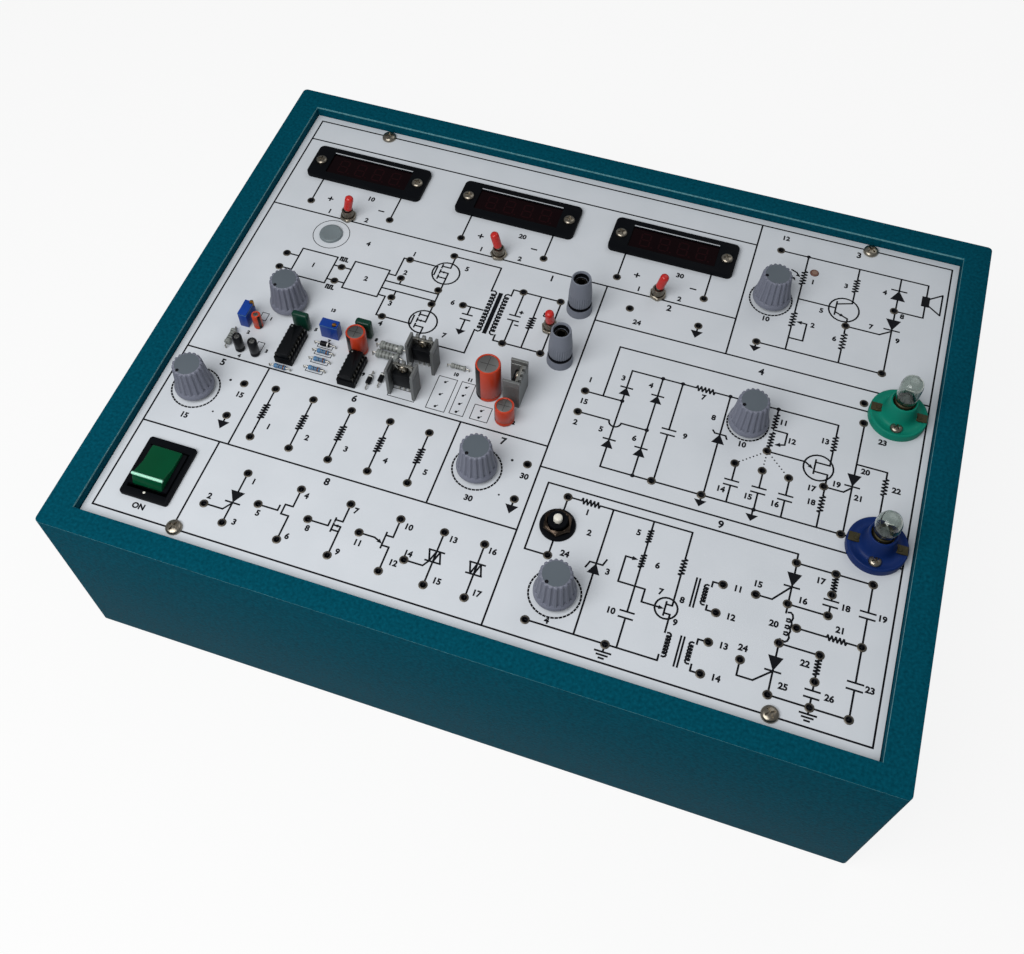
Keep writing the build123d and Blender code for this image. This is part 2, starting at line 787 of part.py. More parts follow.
# Lamp holders: a round base with a raised rim and a boss that holds a threaded shell
for name, place in (("green", green_lamp_place), ("blue", blue_lamp_place)):
    with BuildPart() as holder:
        with BuildSketch(on_panel(place)):
            Circle(lamp_base / 2)
            with Locations((0, -lamp_screw_offset)):
                RegularPolygon(screw_hole / 2, screw_sides, mode=Mode.SUBTRACT)
        extrude(amount=lamp_base_height)
        with BuildSketch(on_panel(place, lamp_base_height)):
            Circle(lamp_base / 2)
            Circle(lamp_base / 2 - lamp_rim, mode=Mode.SUBTRACT)
            Rectangle(lamp_base, tag_width + 2 * solder_gap, mode=Mode.SUBTRACT)
        extrude(amount=lamp_rim_height)
        with BuildSketch(on_panel(place, lamp_base_height)):
            Circle(lamp_boss / 2)
        extrude(amount=lamp_boss_height - lamp_base_height)
        with BuildSketch(on_panel(place, lamp_boss_height)):
            round_rod(lamp_bore)
        extrude(amount=-(lamp_boss_height - lamp_floor), mode=Mode.SUBTRACT)
    save(holder, f"{name}_lamp_holder")

# Lamp contacts: a brass shell in each boss and two tags on each base
with BuildPart() as lamp_contacts:
    for place in (green_lamp_place, blue_lamp_place):
        with BuildSketch(on_panel(place, lamp_floor)):
            round_rod(lamp_bore)
            round_hole(lamp_thread, lamp_thread_gap)
        extrude(amount=lamp_shell_height)
        with BuildSketch(on_panel(place, lamp_base_height)):
            with GridLocations(tag_start + tag_end, 0, 2, 1):
                Rectangle(tag_end - tag_start, tag_width)
        extrude(amount=tag_thickness)
save(lamp_contacts, "lamp_contacts")

# Bulbs: a tubular one and a round one, screwed into the shells
with BuildPart() as lamp_bulbs:
    for place, width, height in ((blue_lamp_place, 12, 13.7), (green_lamp_place, 10.6, 16.2)):
        with BuildSketch(on_panel(place, lamp_floor)):
            round_rod(lamp_thread)
        extrude(amount=bulb_base_height)
        with BuildSketch(on_panel(place, lamp_floor + bulb_base_height)):
            RegularPolygon(width / 2, bulb_sides)
        extrude(amount=height)
        top = lamp_bulbs.faces().sort_by(Axis.Z)[-1]
        chamfer(top.edges(), bulb_dome)
save(lamp_bulbs, "lamp_bulbs")

# Light sensor: a small round cell through the panel
with BuildPart() as light_sensor:
    with BuildSketch(on_panel(sensor_place, sensor_proud)):
        round_rod(sensor_diameter)
    extrude(amount=-(sensor_proud + panel_thickness + sensor_depth))
save(light_sensor, "light_sensor")

# Blanking plug: a disc with a stem, in the hole of a control that is not fitted
with BuildPart() as blanking_plug:
    with BuildSketch(on_panel(plug_place)):
        Circle(plug_head / 2)
    extrude(amount=plug_head_height)
    with BuildSketch(on_panel(plug_place)):
        round_rod(plug_stem)
    extrude(amount=-plug_stem_length)
save(blanking_plug, "blanking_plug")

# Sockets of the two integrated circuits
circuits = ((69.7, 131.2, 8), (105, 127.2, 7))
with BuildPart() as dip_sockets:
    for x, y, pairs in circuits:
        with BuildSketch(on_panel((x, y))):
            Rectangle(dip_width, pairs * dip_pitch)
            Rectangle(dip_slot, pairs * dip_pitch - 2 * dip_pitch, mode=Mode.SUBTRACT)
        extrude(amount=dip_socket_height)
save(dip_sockets, "dip_sockets")

# Integrated circuits: a body on two rows of legs
with BuildPart() as dip_chips:
    for x, y, pairs in circuits:
        with BuildSketch(on_panel((x, y), dip_socket_height + dip_leg)):
            Rectangle(chip_width, pairs * dip_pitch - 1)
            with Locations((0, pairs * dip_pitch / 2 - 0.5)):
                RegularPolygon(1, screw_sides, mode=Mode.SUBTRACT)
        extrude(amount=chip_height)
        with BuildSketch(on_panel((x, y), dip_socket_height)):
            with GridLocations(chip_width + dip_leg_thickness, 0, 2, 1):
                Rectangle(dip_leg_thickness, pairs * dip_pitch - dip_pitch + 1)
        extrude(amount=dip_leg + chip_height / 2)
save(dip_chips, "dip_chips")

# Trimmers: blue blocks with a brass adjusting screw in a round recess
trimmers = (
    ((40.7, 141.7), (4.8, 9.6), (1.5, 4.1)),
    ((85.7, 146), (9.5, 4.8), (2.8, -0.6)),
)
with BuildPart() as trimmer_bodies:
    for place, size, screw in trimmers:
        with BuildSketch(on_panel(place)):
            Rectangle(*size)
        extrude(amount=trimmer_height)
        with BuildSketch(on_panel((place[0] + screw[0], place[1] + screw[1]), trimmer_height)):
            RegularPolygon(trimmer_screw_diameter / 2 + spindle_gap, round_sides, major_radius=False)
        extrude(amount=-trimmer_screw_length, mode=Mode.SUBTRACT)
save(trimmer_bodies, "trimmer_bodies")

# Capacitors: upright cans with a groove, and block capacitors
cans = (
    ((102.5, 141.3), 10.2, 15.5),
    ((174, 137.8), 12.6, 24),
    ((186.5, 125.1), 9.8, 12),
    ((44.8, 123), 5, 11),
    ((53.4, 122.6), 5, 11),
    ((47.5, 139.4), 4.8, 10),
)
blocks = (((69.8, 145.5), 9, 3.6, 12), ((102.4, 151), 8.5, 4, 12))
with BuildPart() as can_capacitors:
    for place, width, height in cans:
        with BuildSketch(on_panel(place)):
            Circle(width / 2)
        extrude(amount=height)
save(can_capacitors, "can_capacitors")

with BuildPart() as block_capacitors:
    for place, width, depth, height in blocks:
        with BuildSketch(on_panel(place, solder_gap)):
            RectangleRounded(width, depth, block_corner)
        extrude(amount=height)
        with BuildSketch(on_panel(place)):
            with GridLocations(width / 2, 0, 2, 1):
                Rectangle(lead, lead)
        extrude(amount=solder_gap)
save(block_capacitors, "block_capacitors")


def lying(place, turn, width, length, span):
    """Add a round body that lies on the panel with a square wire bent down at each end."""
    axis_plane = on_panel(place, solder_gap + width / 2, turn)
    side_plane = Plane(axis_plane.origin, x_dir=axis_plane.y_dir, z_dir=axis_plane.x_dir)
    with BuildSketch(side_plane) as round_end:
        round_rod(width)
    extrude(round_end.sketch, amount=length / 2, both=True)
    with BuildSketch(side_plane) as wire_end:
        Rectangle(lead, lead)
    extrude(wire_end.sketch, amount=span / 2, both=True)
    with BuildSketch(on_panel(place, 0, turn)) as wire_feet:
        with GridLocations(span - lead, 0, 2, 1):
            Rectangle(lead, lead)
    extrude(wire_feet.sketch, amount=solder_gap + width / 2)


# Resistors: small ones and power ones, lying on the panel
small_resistors = ((86.2, 133.7), (86.5, 128.5), (86.2, 122.6), (69.2, 118.2))
with BuildPart() as resistors:
    for place in small_resistors:
        lying(place, 0, 2.4, 6.3, 12)
save(resistors, "resistors")

with BuildPart() as power_resistors:
    lying((118.8, 146.5), 0, 4.6, 12, 17)
    lying((118.8, 141), 0, 4.6, 12, 17)
    lying((154.9, 146.2), 0, 2.8, 8, 12)
    lying((37.5, 127.5), 90, 3.5, 9, 13)
save(power_resistors, "power_resistors")

# Diodes: lying on the panel
with BuildPart() as diodes:
    lying((85.4, 138.4), 0, 2.7, 5.2, 12)
    lying((115.2, 125), 90, 2.6, 5, 11)
    lying((120.5, 128), 90, 2.6, 5, 11)
save(diodes, "diodes")

# Heat sinks: upright U channels with a slotted top edge, and where each one's middle is
heat_sink_places = (((133.7, 125.2), 0), ((137.6, 142.7), 0), ((187, 140.7), 270))
with BuildPart() as heat_sinks:
    for place, turn in heat_sink_places:
        with BuildSketch(on_panel(place, 0, turn)):
            Rectangle(sink_width, sink_depth)
            with Locations((0, -sink_wall)):
                Rectangle(sink_width - 2 * sink_wall, sink_depth, mode=Mode.SUBTRACT)
        extrude(amount=sink_height)
        with BuildSketch(on_panel(place, sink_height, turn)):
            with GridLocations(sink_slot_pitch, 0, sink_slots, 1):
                Rectangle(sink_slot_pitch / 2, sink_depth)
        extrude(amount=-sink_slot_depth, mode=Mode.SUBTRACT)
save(heat_sinks, "heat_sinks")

# Power transistors: a moulded body on a metal tab against the web, on three legs
with BuildPart() as power_transistors:
    for place, turn in heat_sink_places:
        web = sink_depth / 2 - sink_wall
        with BuildSketch(on_panel(place, transistor_start, turn)):
            with Locations((0, web - transistor_depth / 2)):
                Rectangle(transistor_width, transistor_depth)
        extrude(amount=transistor_body)
        with BuildSketch(on_panel(place, transistor_start + transistor_body, turn)):
            with Locations((0, web - transistor_tab / 2)):
                Rectangle(transistor_width, transistor_tab)
        extrude(amount=transistor_tab_height)
        with BuildSketch(on_panel(place, 0, turn)):
            with Locations((0, web - transistor_depth / 2)):
                with GridLocations(dip_pitch, 0, 3, 1):
                    Rectangle(lead, lead)
        extrude(amount=transistor_start)
save(power_transistors, "power_transistors")

# Trimmer screws: brass heads with a slot, turned by a screwdriver
for number, (place, size, screw) in enumerate(trimmers, 1):
    with BuildPart() as trimmer_screw:
        middle = (place[0] + screw[0], place[1] + screw[1])
        with BuildSketch(on_panel(middle, trimmer_height + trimmer_screw_proud)):
            round_rod(trimmer_screw_diameter)
        extrude(amount=-trimmer_screw_length)
        with BuildSketch(on_panel(middle, trimmer_height + trimmer_screw_proud)):
            Rectangle(trimmer_screw_diameter, trimmer_slot)
        extrude(amount=-trimmer_slot, mode=Mode.SUBTRACT)
    save(trimmer_screw, f"trimmer_screw_{number}")

# Transformer: a laminated core with a winding, on a foot plate on the bottom cover
with BuildPart() as transformer:
    with BuildSketch(Plane(transformer_place)):
        Rectangle(transformer_width + 2 * transformer_ear, transformer_depth)
    extrude(amount=transformer_foot)
    with BuildSketch(Plane(transformer_place)):
        Rectangle(transformer_width, transformer_core)
    extrude(amount=transformer_height)
    with BuildSketch(Plane(transformer_place).offset(transformer_winding_start)):
        RectangleRounded(transformer_winding, transformer_depth, transformer_corner)
    extrude(amount=transformer_height - 2 * transformer_winding_start)
save(transformer, "transformer")

# Supply board: regulators and smoothing capacitors on posts on the bottom cover
with BuildPart() as supply_board:
    with BuildSketch(Plane(supply_place)):
        with GridLocations(supply_width - supply_post_inset, supply_depth - supply_post_inset, 2, 2):
            RegularPolygon(supply_post / 2, 6)
    extrude(amount=supply_post_height)
    with BuildSketch(Plane(supply_place).offset(supply_post_height)):
        Rectangle(supply_width, supply_depth)
    extrude(amount=board_thickness)
    with BuildSketch(Plane(supply_place).offset(supply_post_height + board_thickness)):
        with GridLocations(supply_can_pitch, 0, 3, 1):
            round_rod(supply_can)
    extrude(amount=supply_can_height)
save(supply_board, "supply_board")

# Speaker: a cone frame and a magnet, glued under the panel
with BuildPart() as speaker:
    with BuildSketch(on_panel(speaker_place, -panel_thickness)):
        round_rod(speaker_diameter)
    extrude(amount=-speaker_rim)
    with BuildSketch(on_panel(speaker_place, -panel_thickness - speaker_rim)):
        round_rod(speaker_diameter - 4 * speaker_rim)
    extrude(amount=-speaker_cone)
    with BuildSketch(on_panel(speaker_place, -panel_thickness - speaker_rim - speaker_cone)):
        round_rod(speaker_magnet)
    extrude(amount=-speaker_magnet_height)
save(speaker, "speaker")

# Mains inlet: a flange on the back wall, a hollow body through it and three flat pins
with BuildPart() as mains_inlet:
    with BuildSketch(inlet_plane):
        RectangleRounded(inlet_flange_width, inlet_flange_height, bezel_corner)
        with GridLocations(inlet_screw_spacing, 0, 2, 1):
            RegularPolygon(screw_hole / 2, screw_sides, mode=Mode.SUBTRACT)
    extrude(amount=inlet_flange_thickness)
    with BuildSketch(inlet_plane):
        Rectangle(inlet_body_width, inlet_body_height)
    extrude(amount=-inlet_body_depth)
    with BuildSketch(inlet_plane.offset(inlet_flange_thickness)):
        Rectangle(inlet_cavity_width, inlet_cavity_height)
    extrude(amount=-inlet_cavity_depth, mode=Mode.SUBTRACT)
    with BuildSketch(inlet_plane.offset(inlet_flange_thickness - inlet_cavity_depth)):
        with Locations((0, -inlet_earth_offset / 2)):
            with GridLocations(inlet_pin_spacing, 0, 2, 1):
                Rectangle(inlet_pin_thickness, inlet_pin_width)
        with Locations((0, inlet_earth_offset / 2)):
            Rectangle(inlet_pin_thickness, inlet_pin_width)
    extrude(amount=inlet_pin_length)
save(mains_inlet, "mains_inlet")
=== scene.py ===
# %% [markdown]
# # A bench trainer for power electronics
#
# The object is a low box of folded steel with a white circuit panel sunk into its top. The frame
# below holds every part at its real size. This lesson gives each part its finish, models the small
# parts again where they show more than a plain solid, and prints the circuit on the panel.

# %% Load the frame
from math import atan2, cos, hypot, pi, radians, sin

import bmesh
import bpy
from mathutils import Matrix, Vector


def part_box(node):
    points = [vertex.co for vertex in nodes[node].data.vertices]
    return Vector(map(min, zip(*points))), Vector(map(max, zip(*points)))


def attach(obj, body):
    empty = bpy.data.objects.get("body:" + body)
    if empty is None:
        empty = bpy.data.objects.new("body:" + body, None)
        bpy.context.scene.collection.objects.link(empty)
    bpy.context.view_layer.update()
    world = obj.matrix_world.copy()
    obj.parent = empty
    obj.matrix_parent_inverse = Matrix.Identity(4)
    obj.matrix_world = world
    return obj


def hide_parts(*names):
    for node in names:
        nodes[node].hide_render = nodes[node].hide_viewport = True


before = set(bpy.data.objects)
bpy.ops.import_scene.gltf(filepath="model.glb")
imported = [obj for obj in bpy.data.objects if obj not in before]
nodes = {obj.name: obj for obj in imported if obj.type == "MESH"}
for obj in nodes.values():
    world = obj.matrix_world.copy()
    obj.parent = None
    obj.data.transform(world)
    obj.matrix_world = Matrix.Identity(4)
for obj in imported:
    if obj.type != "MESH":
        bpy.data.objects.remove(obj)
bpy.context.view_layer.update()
print("nodes", len(nodes))

# %% [markdown]
# Places on the panel are given as a maker gives them, in millimetres from the case's front left
# corner, with the height above the panel's face. The panel's face is read from the frame.

# %% Measures
mm = 0.001
case_low, case_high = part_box("cabinet")
panel_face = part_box("front_panel")[1].z


def on_panel(x, y, height=0):
    """A place of the panel in metres."""
    return Vector((case_low.x + x * mm, case_low.y + y * mm, panel_face + height * mm))


print("panel face at", round(panel_face / mm, 2), "mm")

# %% [markdown]
# The camera stands where the photographer stood: in front, a little to the right, looking down at
# about 57 degrees. The principal point of the photograph is a little above its middle, and the two
# shifts put it there.

# %% Camera
bpy.ops.object.camera_add(
    location=(0.08885, -0.32501, 0.58657),
    rotation=(radians(33.0889), radians(0.4564), radians(18.716)),
)
camera = bpy.context.object
camera.data.lens = 41.023
camera.data.shift_x = 0.0115
camera.data.shift_y = -0.0532
camera.data.clip_start = 0.01
bpy.context.scene.camera = camera

# %% [markdown]
# One function turns an sRGB hex colour to linear, and one adds a node, sets it and fills its inputs.
# The world, the finishes and the floor are all built with these two.

# %% Colours and nodes
def linear(colour):
    """An sRGB hex colour as linear red, green, blue and alpha."""
    values = [int(colour[i : i + 2], 16) / 255 for i in (0, 2, 4)]
    return [v / 12.92 if v <= 0.04045 else ((v + 0.055) / 1.055) ** 2.4 for v in values] + [1]


def add_node(owner, kind, inputs=(), **settings):
    """Add a node, set it, and fill its inputs with values or with other nodes' outputs."""
    node = owner.node_tree.nodes.new(kind)
    for name, value in settings.items():
        setattr(node, name, value)
    for name, value in dict(inputs).items():
        if isinstance(value, bpy.types.NodeSocket):
            owner.node_tree.links.new(value, node.inputs[name])
        else:
            node.inputs[name].default_value = value
    return node


print("a mid grey of 808080 is", round(linear("808080")[0], 3), "in linear light")

# %% [markdown]
# A plain studio has a wide soft lamp above the front left corner and a weaker one far behind. The
# camera sees the world as white, the ground of the photograph, but the light that the world gives
# is weak and a little blue. The panel is brightest in front and falls off towards the meters.

# %% Light
scene = bpy.context.scene
scene.view_settings.view_transform = "Standard"

world = bpy.data.worlds.new("studio")
scene.world = world
world.use_nodes = True
sky = world.node_tree.nodes["Background"]
sky.inputs["Color"].default_value = (0.93, 0.96, 1, 1)
sky.inputs["Strength"].default_value = 0.26
ground = add_node(world, "ShaderNodeBackground", {"Color": (1, 1, 1, 1)})
seen = add_node(world, "ShaderNodeLightPath").outputs["Is Camera Ray"]
either = {0: seen, 1: sky.outputs["Background"], 2: ground.outputs["Background"]}
either = add_node(world, "ShaderNodeMixShader", either)
output = world.node_tree.nodes["World Output"]
world.node_tree.links.new(either.outputs["Shader"], output.inputs["Surface"])


def soft_lamp(name, place, target, width, power):
    """A square area lamp that looks at a point. The power is in watts."""
    aim = (Vector(target) - Vector(place)).to_track_quat("-Z", "Y").to_euler()
    bpy.ops.object.light_add(type="AREA", location=place, rotation=aim)
    lamp = bpy.context.object
    lamp.name = name
    lamp.data.size = width
    lamp.data.energy = power
    print(name, "lamp of", power, "W")


soft_lamp("key", (-0.22, -0.43, 0.76), (0, -0.08, 0.1), 0.6, 5.9)
soft_lamp("fill", (0.5, 0.9, 1.2), (0, 0, 0.1), 0.9, 2.2)

# %% [markdown]
# Each finish starts from what the real surface is. Wide patches drift between two shades and a
# little in roughness, so no face is quite even. A fine grain with a real height spreads the
# highlights. A metal reflects in its own colour. The other finishes reflect white, and the shine
# says how much: a polished plastic has about 0.5, a chalky one far less.

# %% Surfaces
def surface(name, dark, light, rough, grain, depth, shine=0.5, patch=22, **sockets):
    """A finish between two shades. The grain, its depth and the patches are in millimetres."""
    material = bpy.data.materials.new(name)
    material.use_nodes = True
    shader = material.node_tree.nodes["Principled BSDF"]
    place = add_node(material, "ShaderNodeTexCoord").outputs["Object"]
    noises = []
    for size, detail in ((patch, 5), (grain, 3)):
        noise = {"Vector": place, "Scale": 1 / (size * mm), "Detail": detail}
        noises.append(add_node(material, "ShaderNodeTexNoise", noise).outputs["Fac"])
    broad, fine = noises
    shades = {0: broad, 6: linear(dark), 7: linear(light)}
    colour = add_node(material, "ShaderNodeMix", shades, data_type="RGBA")
    limits = {"Value": broad, "To Min": rough * 0.85, "To Max": rough * 1.15}
    worn = add_node(material, "ShaderNodeMapRange", limits)
    bump = add_node(material, "ShaderNodeBump", {"Height": fine, "Distance": depth * mm})
    links = material.node_tree.links
    links.new(colour.outputs[2], shader.inputs["Base Color"])
    links.new(worn.outputs["Result"], shader.inputs["Roughness"])
    links.new(bump.outputs["Normal"], shader.inputs["Normal"])
    for socket, value in {"Specular_IOR_Level": shine, **sockets}.items():
        shader.inputs[socket.replace("_", " ")].default_value = value
    return material


def metal(name, dark, light, rough, grain, depth, share=1.0):
    """A metal finish. A share below one stands for a film of dirt or oxide on it."""
    return surface(name, dark, light, rough, grain, depth, Metallic=share)


def finished(shape, *finishes):
    """Give a shape these finishes instead of its own."""
    shape.data.materials.clear()
    for finish in finishes:
        shape.data.materials.append(finish)
    return shape

# %% [markdown]
# The coat's orange peel breaks the light into a fine speckle and leaves no clear highlight. The
# speckle is painted sparkle: lighter and darker teal in the coat's colour. It is about 1 mm across,
# and drawn at 1.5, or the render wouldn't show it. A pale dotted line along the edges is a painted
# highlight. The laminate and its ink are nearly matt, so the print stays crisp from every side.

# %% Paint and print
powder_coat = surface("powder_coat_teal", "002834", "07586b", 0.5, 1.2, 0.16, 0.006, 1.5)
# A pale dotted teal: a painted highlight for the rim's edges.
painted_edge_highlight = surface("powder_coat_painted_edge_highlight", "06505e", "7ab2b6", 0.45, 1.2, 0.12, 0.08, 1.5)
laminate = surface("printed_laminate", "c4c9ce", "d0d4d9", 0.45, 0.5, 0.004, 0.25)
# The black ink also paints shade: in the eyelets' bores and on the collar under each post's cap.
ink_and_painted_shade = surface("screen_print_ink_and_painted_shade", "0a0b10", "14161b", 0.6, 0.4, 0.004, 0.1)
print("paint and print:", len(bpy.data.materials), "finishes so far")

# %% [markdown]
# Black mouldings are so dark that the eye finds them by the soft sheen on their edges. The grey,
# white and coloured ones are satin, and a broad sheen shows how round they are. The windows and
# the rocker are polished, so they show a clear picture of the lamp where it meets the eye. The
# pale strips behind the windows and on the rocker's ridge are painted highlights.

# %% Mouldings
# Black
black_abs = surface("black_abs", "07080b", "0d0f13", 0.46, 0.35, 0.01, 0.05)
black_epoxy = surface("black_epoxy", "08090b", "101215", 0.42, 0.3, 0.01, 0.1)
rubber = surface("moulded_rubber", "101010", "1a1a1a", 0.8, 0.4, 0.02)
# Grey, white and coloured
knob_grey = surface("knob_nylon", "666976", "747785", 0.46, 0.35, 0.012, 0.35)
knob_top_grey = surface("knob_top_nylon", "50585f", "5c646b", 0.44, 0.35, 0.006, 0.25)
post_grey = surface("post_phenolic", "666a74", "767b86", 0.46, 0.3, 0.01, 0.25)
plug_grey = surface("plug_nylon", "666f72", "788286", 0.34, 0.4, 0.01, 0.3)
white_nylon = surface("white_nylon", "d6d2c6", "e2dfd4", 0.4, 0.3, 0.004)
green_holder = surface("green_phenolic", "066a58", "0b806a", 0.4, 0.3, 0.01, 0.12)
blue_holder = surface("blue_phenolic", "0c2150", "112b64", 0.4, 0.3, 0.01, 0.12)
blue_diallyl = surface("blue_diallyl", "10347e", "163f96", 0.34, 0.3, 0.005, 0.2)
red_vinyl = surface("red_vinyl_sleeve", "a81510", "c9231a", 0.35, 0.3, 0.006)
# Polished
red_window = surface("red_acrylic", "0a0204", "120406", 0.12, 0.5, 0.001, 0.08)
dim_segment = surface("unlit_segment", "18060a", "20080b", 0.14, 0.5, 0.001, 0.08)
# A pale strip behind each meter window, a painted highlight.
window_edge_painted_highlight = surface("painted_window_edge_highlight", "a8adb0", "bcc0c4", 0.15, 0.3, 0.001)
green_rocker = surface("green_polycarbonate", "023a22", "044c2e", 0.2, 0.5, 0.003, 0.12)
# A pale green bar on the rocker's front ridge, a painted highlight.
ridge_painted_highlight = surface("painted_green_ridge_highlight", "8fd4b4", "b4e8d0", 0.2, 0.3, 0.002)
print("mouldings:", len(bpy.data.materials), "finishes so far")

# %% [markdown]
# Shrunk sleeves, dips and lacquers are smooth, and each carries one long highlight. The inks and
# bands on them are thin paint, where only the shade matters.

# %% Sleeves, lacquers and inks
orange_sleeve = surface("orange_pvc_sleeve", "a83018", "c24226", 0.34, 0.4, 0.004, 0.3)
black_sleeve = surface("black_pvc_sleeve", "0a0b0e", "121419", 0.3, 0.4, 0.004, 0.15)
green_dip = surface("green_epoxy_dip", "082a20", "0e3a2c", 0.28, 0.5, 0.02, 0.2)
blue_lacquer = surface("blue_lacquer", "36628a", "507ea6", 0.4, 0.3, 0.01, 0.3)
grey_lacquer = surface("grey_lacquer", "6e7270", "8c908c", 0.45, 0.3, 0.01, 0.3)
# Inks and bands
black_ink = surface("black_sleeve_ink", "100d0c", "1a1614", 0.4, 0.4, 0.002, 0.2)
pale_ink = surface("pale_sleeve_ink", "b8bab8", "cccdca", 0.42, 0.4, 0.002)
brown_band = surface("brown_band", "4a2a1a", "5a3422", 0.4, 0.3, 0.002)
dark_band = surface("dark_grey_band", "3c3e3c", "4c4e4a", 0.4, 0.3, 0.002)
print("sleeves, lacquers and inks:", len(bpy.data.materials), "finishes so far")

# %% [markdown]
# Plated and bare metals are bright where they face a lamp, and dark beside it. Handling and age
# have dulled others, and only a brown or grey glint is left of their shine. The eyelets' nearly
# black nickel is a painted reflection of the dark that they mirror.

# %% Metals
zinc_plate = metal("zinc_plated_steel", "8d8a82", "b5b2a9", 0.3, 0.3, 0.003)
worn_nickel = metal("worn_nickel", "6e685e", "aaa294", 0.3, 0.8, 0.01)
tinned_copper = metal("tinned_wire", "8c8a84", "b8b6ae", 0.28, 0.3, 0.003)
turned_brass = metal("turned_brass", "8a6a3a", "b08c52", 0.3, 0.3, 0.003)
bare_steel = metal("zinc_coated_sheet", "8a8c8e", "9da0a2", 0.45, 0.6, 0.01)
bare_aluminium = metal("bare_aluminium", "70706e", "949492", 0.42, 0.3, 0.006)
# Dull
# Nearly black: a painted dark reflection on the eyelets' nickel.
nickel_painted_dark_reflection = metal("nickel_painted_dark_reflection", "3e3a34", "6a645a", 0.42, 0.5, 0.01, 0.8)
# On the binding posts' studs this dark metal is painted shade in the gap under the caps.
black_nickel_and_painted_shade = metal("black_nickel_and_painted_shade", "191817", "35322e", 0.4, 0.3, 0.004)
bronze_nut = metal("blackened_bronze", "2a2420", "54483e", 0.24, 0.5, 0.006)
dull_tin = metal("dull_tin", "3c3b38", "585650", 0.4, 0.3, 0.004)
brown_brass = metal("tarnished_brass", "242216", "524b32", 0.5, 0.9, 0.04, 0.7)
satin_aluminium = metal("satin_aluminium", "5c5e60", "868886", 0.5, 0.7, 0.03, 0.6)
print("metals:", len(bpy.data.materials), "finishes so far")

# %% [markdown]
# Glass is seen by what it bends, and the bead and the filament give a bulb its bright heart; the
# filament's near white is a painted highlight. The boards, the transformer's core and the light cell
# are plain, and their colours tell them apart. The loop then finishes the CAD parts that are shown
# as they are. All others are modelled again.

# %% Glass and boards
clear_glass = surface(
    "clear_glass", "d2d9d3", "dee4de", 0.03, 2, 0.001, Transmission_Weight=1.0, IOR=1.45
)
grey_glass = surface("grey_glass_bead", "5c605e", "787c7a", 0.15, 0.3, 0.002)
# The filament is near white, a painted highlight.
filament_painted_highlight = surface("tungsten_filament_painted_highlight", "e4e4e0", "f0f0ec", 0.3, 0.2, 0.002)
board_green = surface("fibreglass_board", "1c4a2c", "24583a", 0.45, 0.4, 0.01)
core_varnish = surface("varnished_core", "3a342c", "4a4238", 0.5, 0.4, 0.01)
sensor_brown = surface("sensor_cell", "5e3c30", "744c3e", 0.4, 0.3, 0.01)
sensor_track = surface("sensor_track", "a08a76", "b49c86", 0.4, 0.3, 0.004)

for finish, shown in (
    (laminate, ["front_panel"]),
    (zinc_plate, ["cover_screws"]),
    (black_abs, ["potentiometers", "speaker"]),
    (red_window, ["meter_windows"]),
    (board_green, ["meter_displays", "supply_board"]),
    (turned_brass, ["trimmer_screw_1", "trimmer_screw_2"]),
    (core_varnish, ["transformer"]),
    (bare_aluminium, [name for name in nodes if name.startswith("spindle_")]),
):
    for name in shown:
        finished(nodes[name], finish)
print("glass and boards:", len(bpy.data.materials), "finishes so far")

# %% [markdown]
# Most of the small parts are turned, moulded or cut from a simple block, so a few helpers model
# them. A softened part is a copy of the CAD part whose sharp edges get the small radius that a real
# mould or press leaves: that radius is what catches the light.

# %% Modelling helpers
weld = 0.002 * mm


def pick(shape):
    """Make this the only selected object."""
    bpy.ops.object.select_all(action="DESELECT")
    shape.select_set(True)
    bpy.context.view_layer.objects.active = shape


def rounded(shape, width, segments=2, angle=30):
    """Round the sharp edges of a shape, with a width in millimetres, and smooth its shading."""
    pick(shape)
    bevel = shape.modifiers.new("edges", "BEVEL")
    bevel.width = width * mm
    bevel.segments = segments
    bevel.limit_method = "ANGLE"
    bevel.angle_limit = radians(angle)
    bpy.ops.object.modifier_apply(modifier=bevel.name)
    bpy.ops.object.shade_smooth_by_angle(angle=radians(angle))
    return shape


def twin(master):
    """A copy of a shape, with a mesh of its own."""
    shape = master.copy()
    shape.data = master.data.copy()
    scene.collection.objects.link(shape)
    return shape


def softened(node, width, finish, segments=2):
    """A copy of a CAD node with its flat faces joined and its edges rounded."""
    shape = twin(nodes[node])
    shape.parent = None
    for key in list(shape.keys()):
        del shape[key]
    pick(shape)
    bpy.ops.mesh.customdata_custom_splitnormals_clear()
    bpy.ops.object.mode_set(mode="EDIT")
    bpy.ops.mesh.select_all(action="SELECT")
    bpy.ops.mesh.remove_doubles(threshold=weld)
    bpy.ops.mesh.dissolve_limited(angle_limit=radians(0.5))
    bpy.ops.object.mode_set(mode="OBJECT")
    return rounded(finished(shape, finish), width, segments)


print("points nearer than", round(weld / mm, 3), "mm are welded")

# %% [markdown]
# A turned part is a circle that is extruded and resized ring by ring. A block is a cube with rounded
# edges.

# %% Turned shapes and blocks
def rings(profile):
    """Extrude the selection from the first ring of a profile through the others."""
    radius, height = profile[0]
    for next_radius, next_height in profile[1:]:
        grow = next_radius / radius
        rise = (next_height - height) * mm
        bpy.ops.mesh.extrude_region_move(TRANSFORM_OT_translate={"value": (0, 0, rise)})
        bpy.ops.transform.resize(value=(grow, grow, 1), center_override=(0, 0, 0))
        radius, height = next_radius, next_height
    bpy.ops.mesh.select_all(action="SELECT")


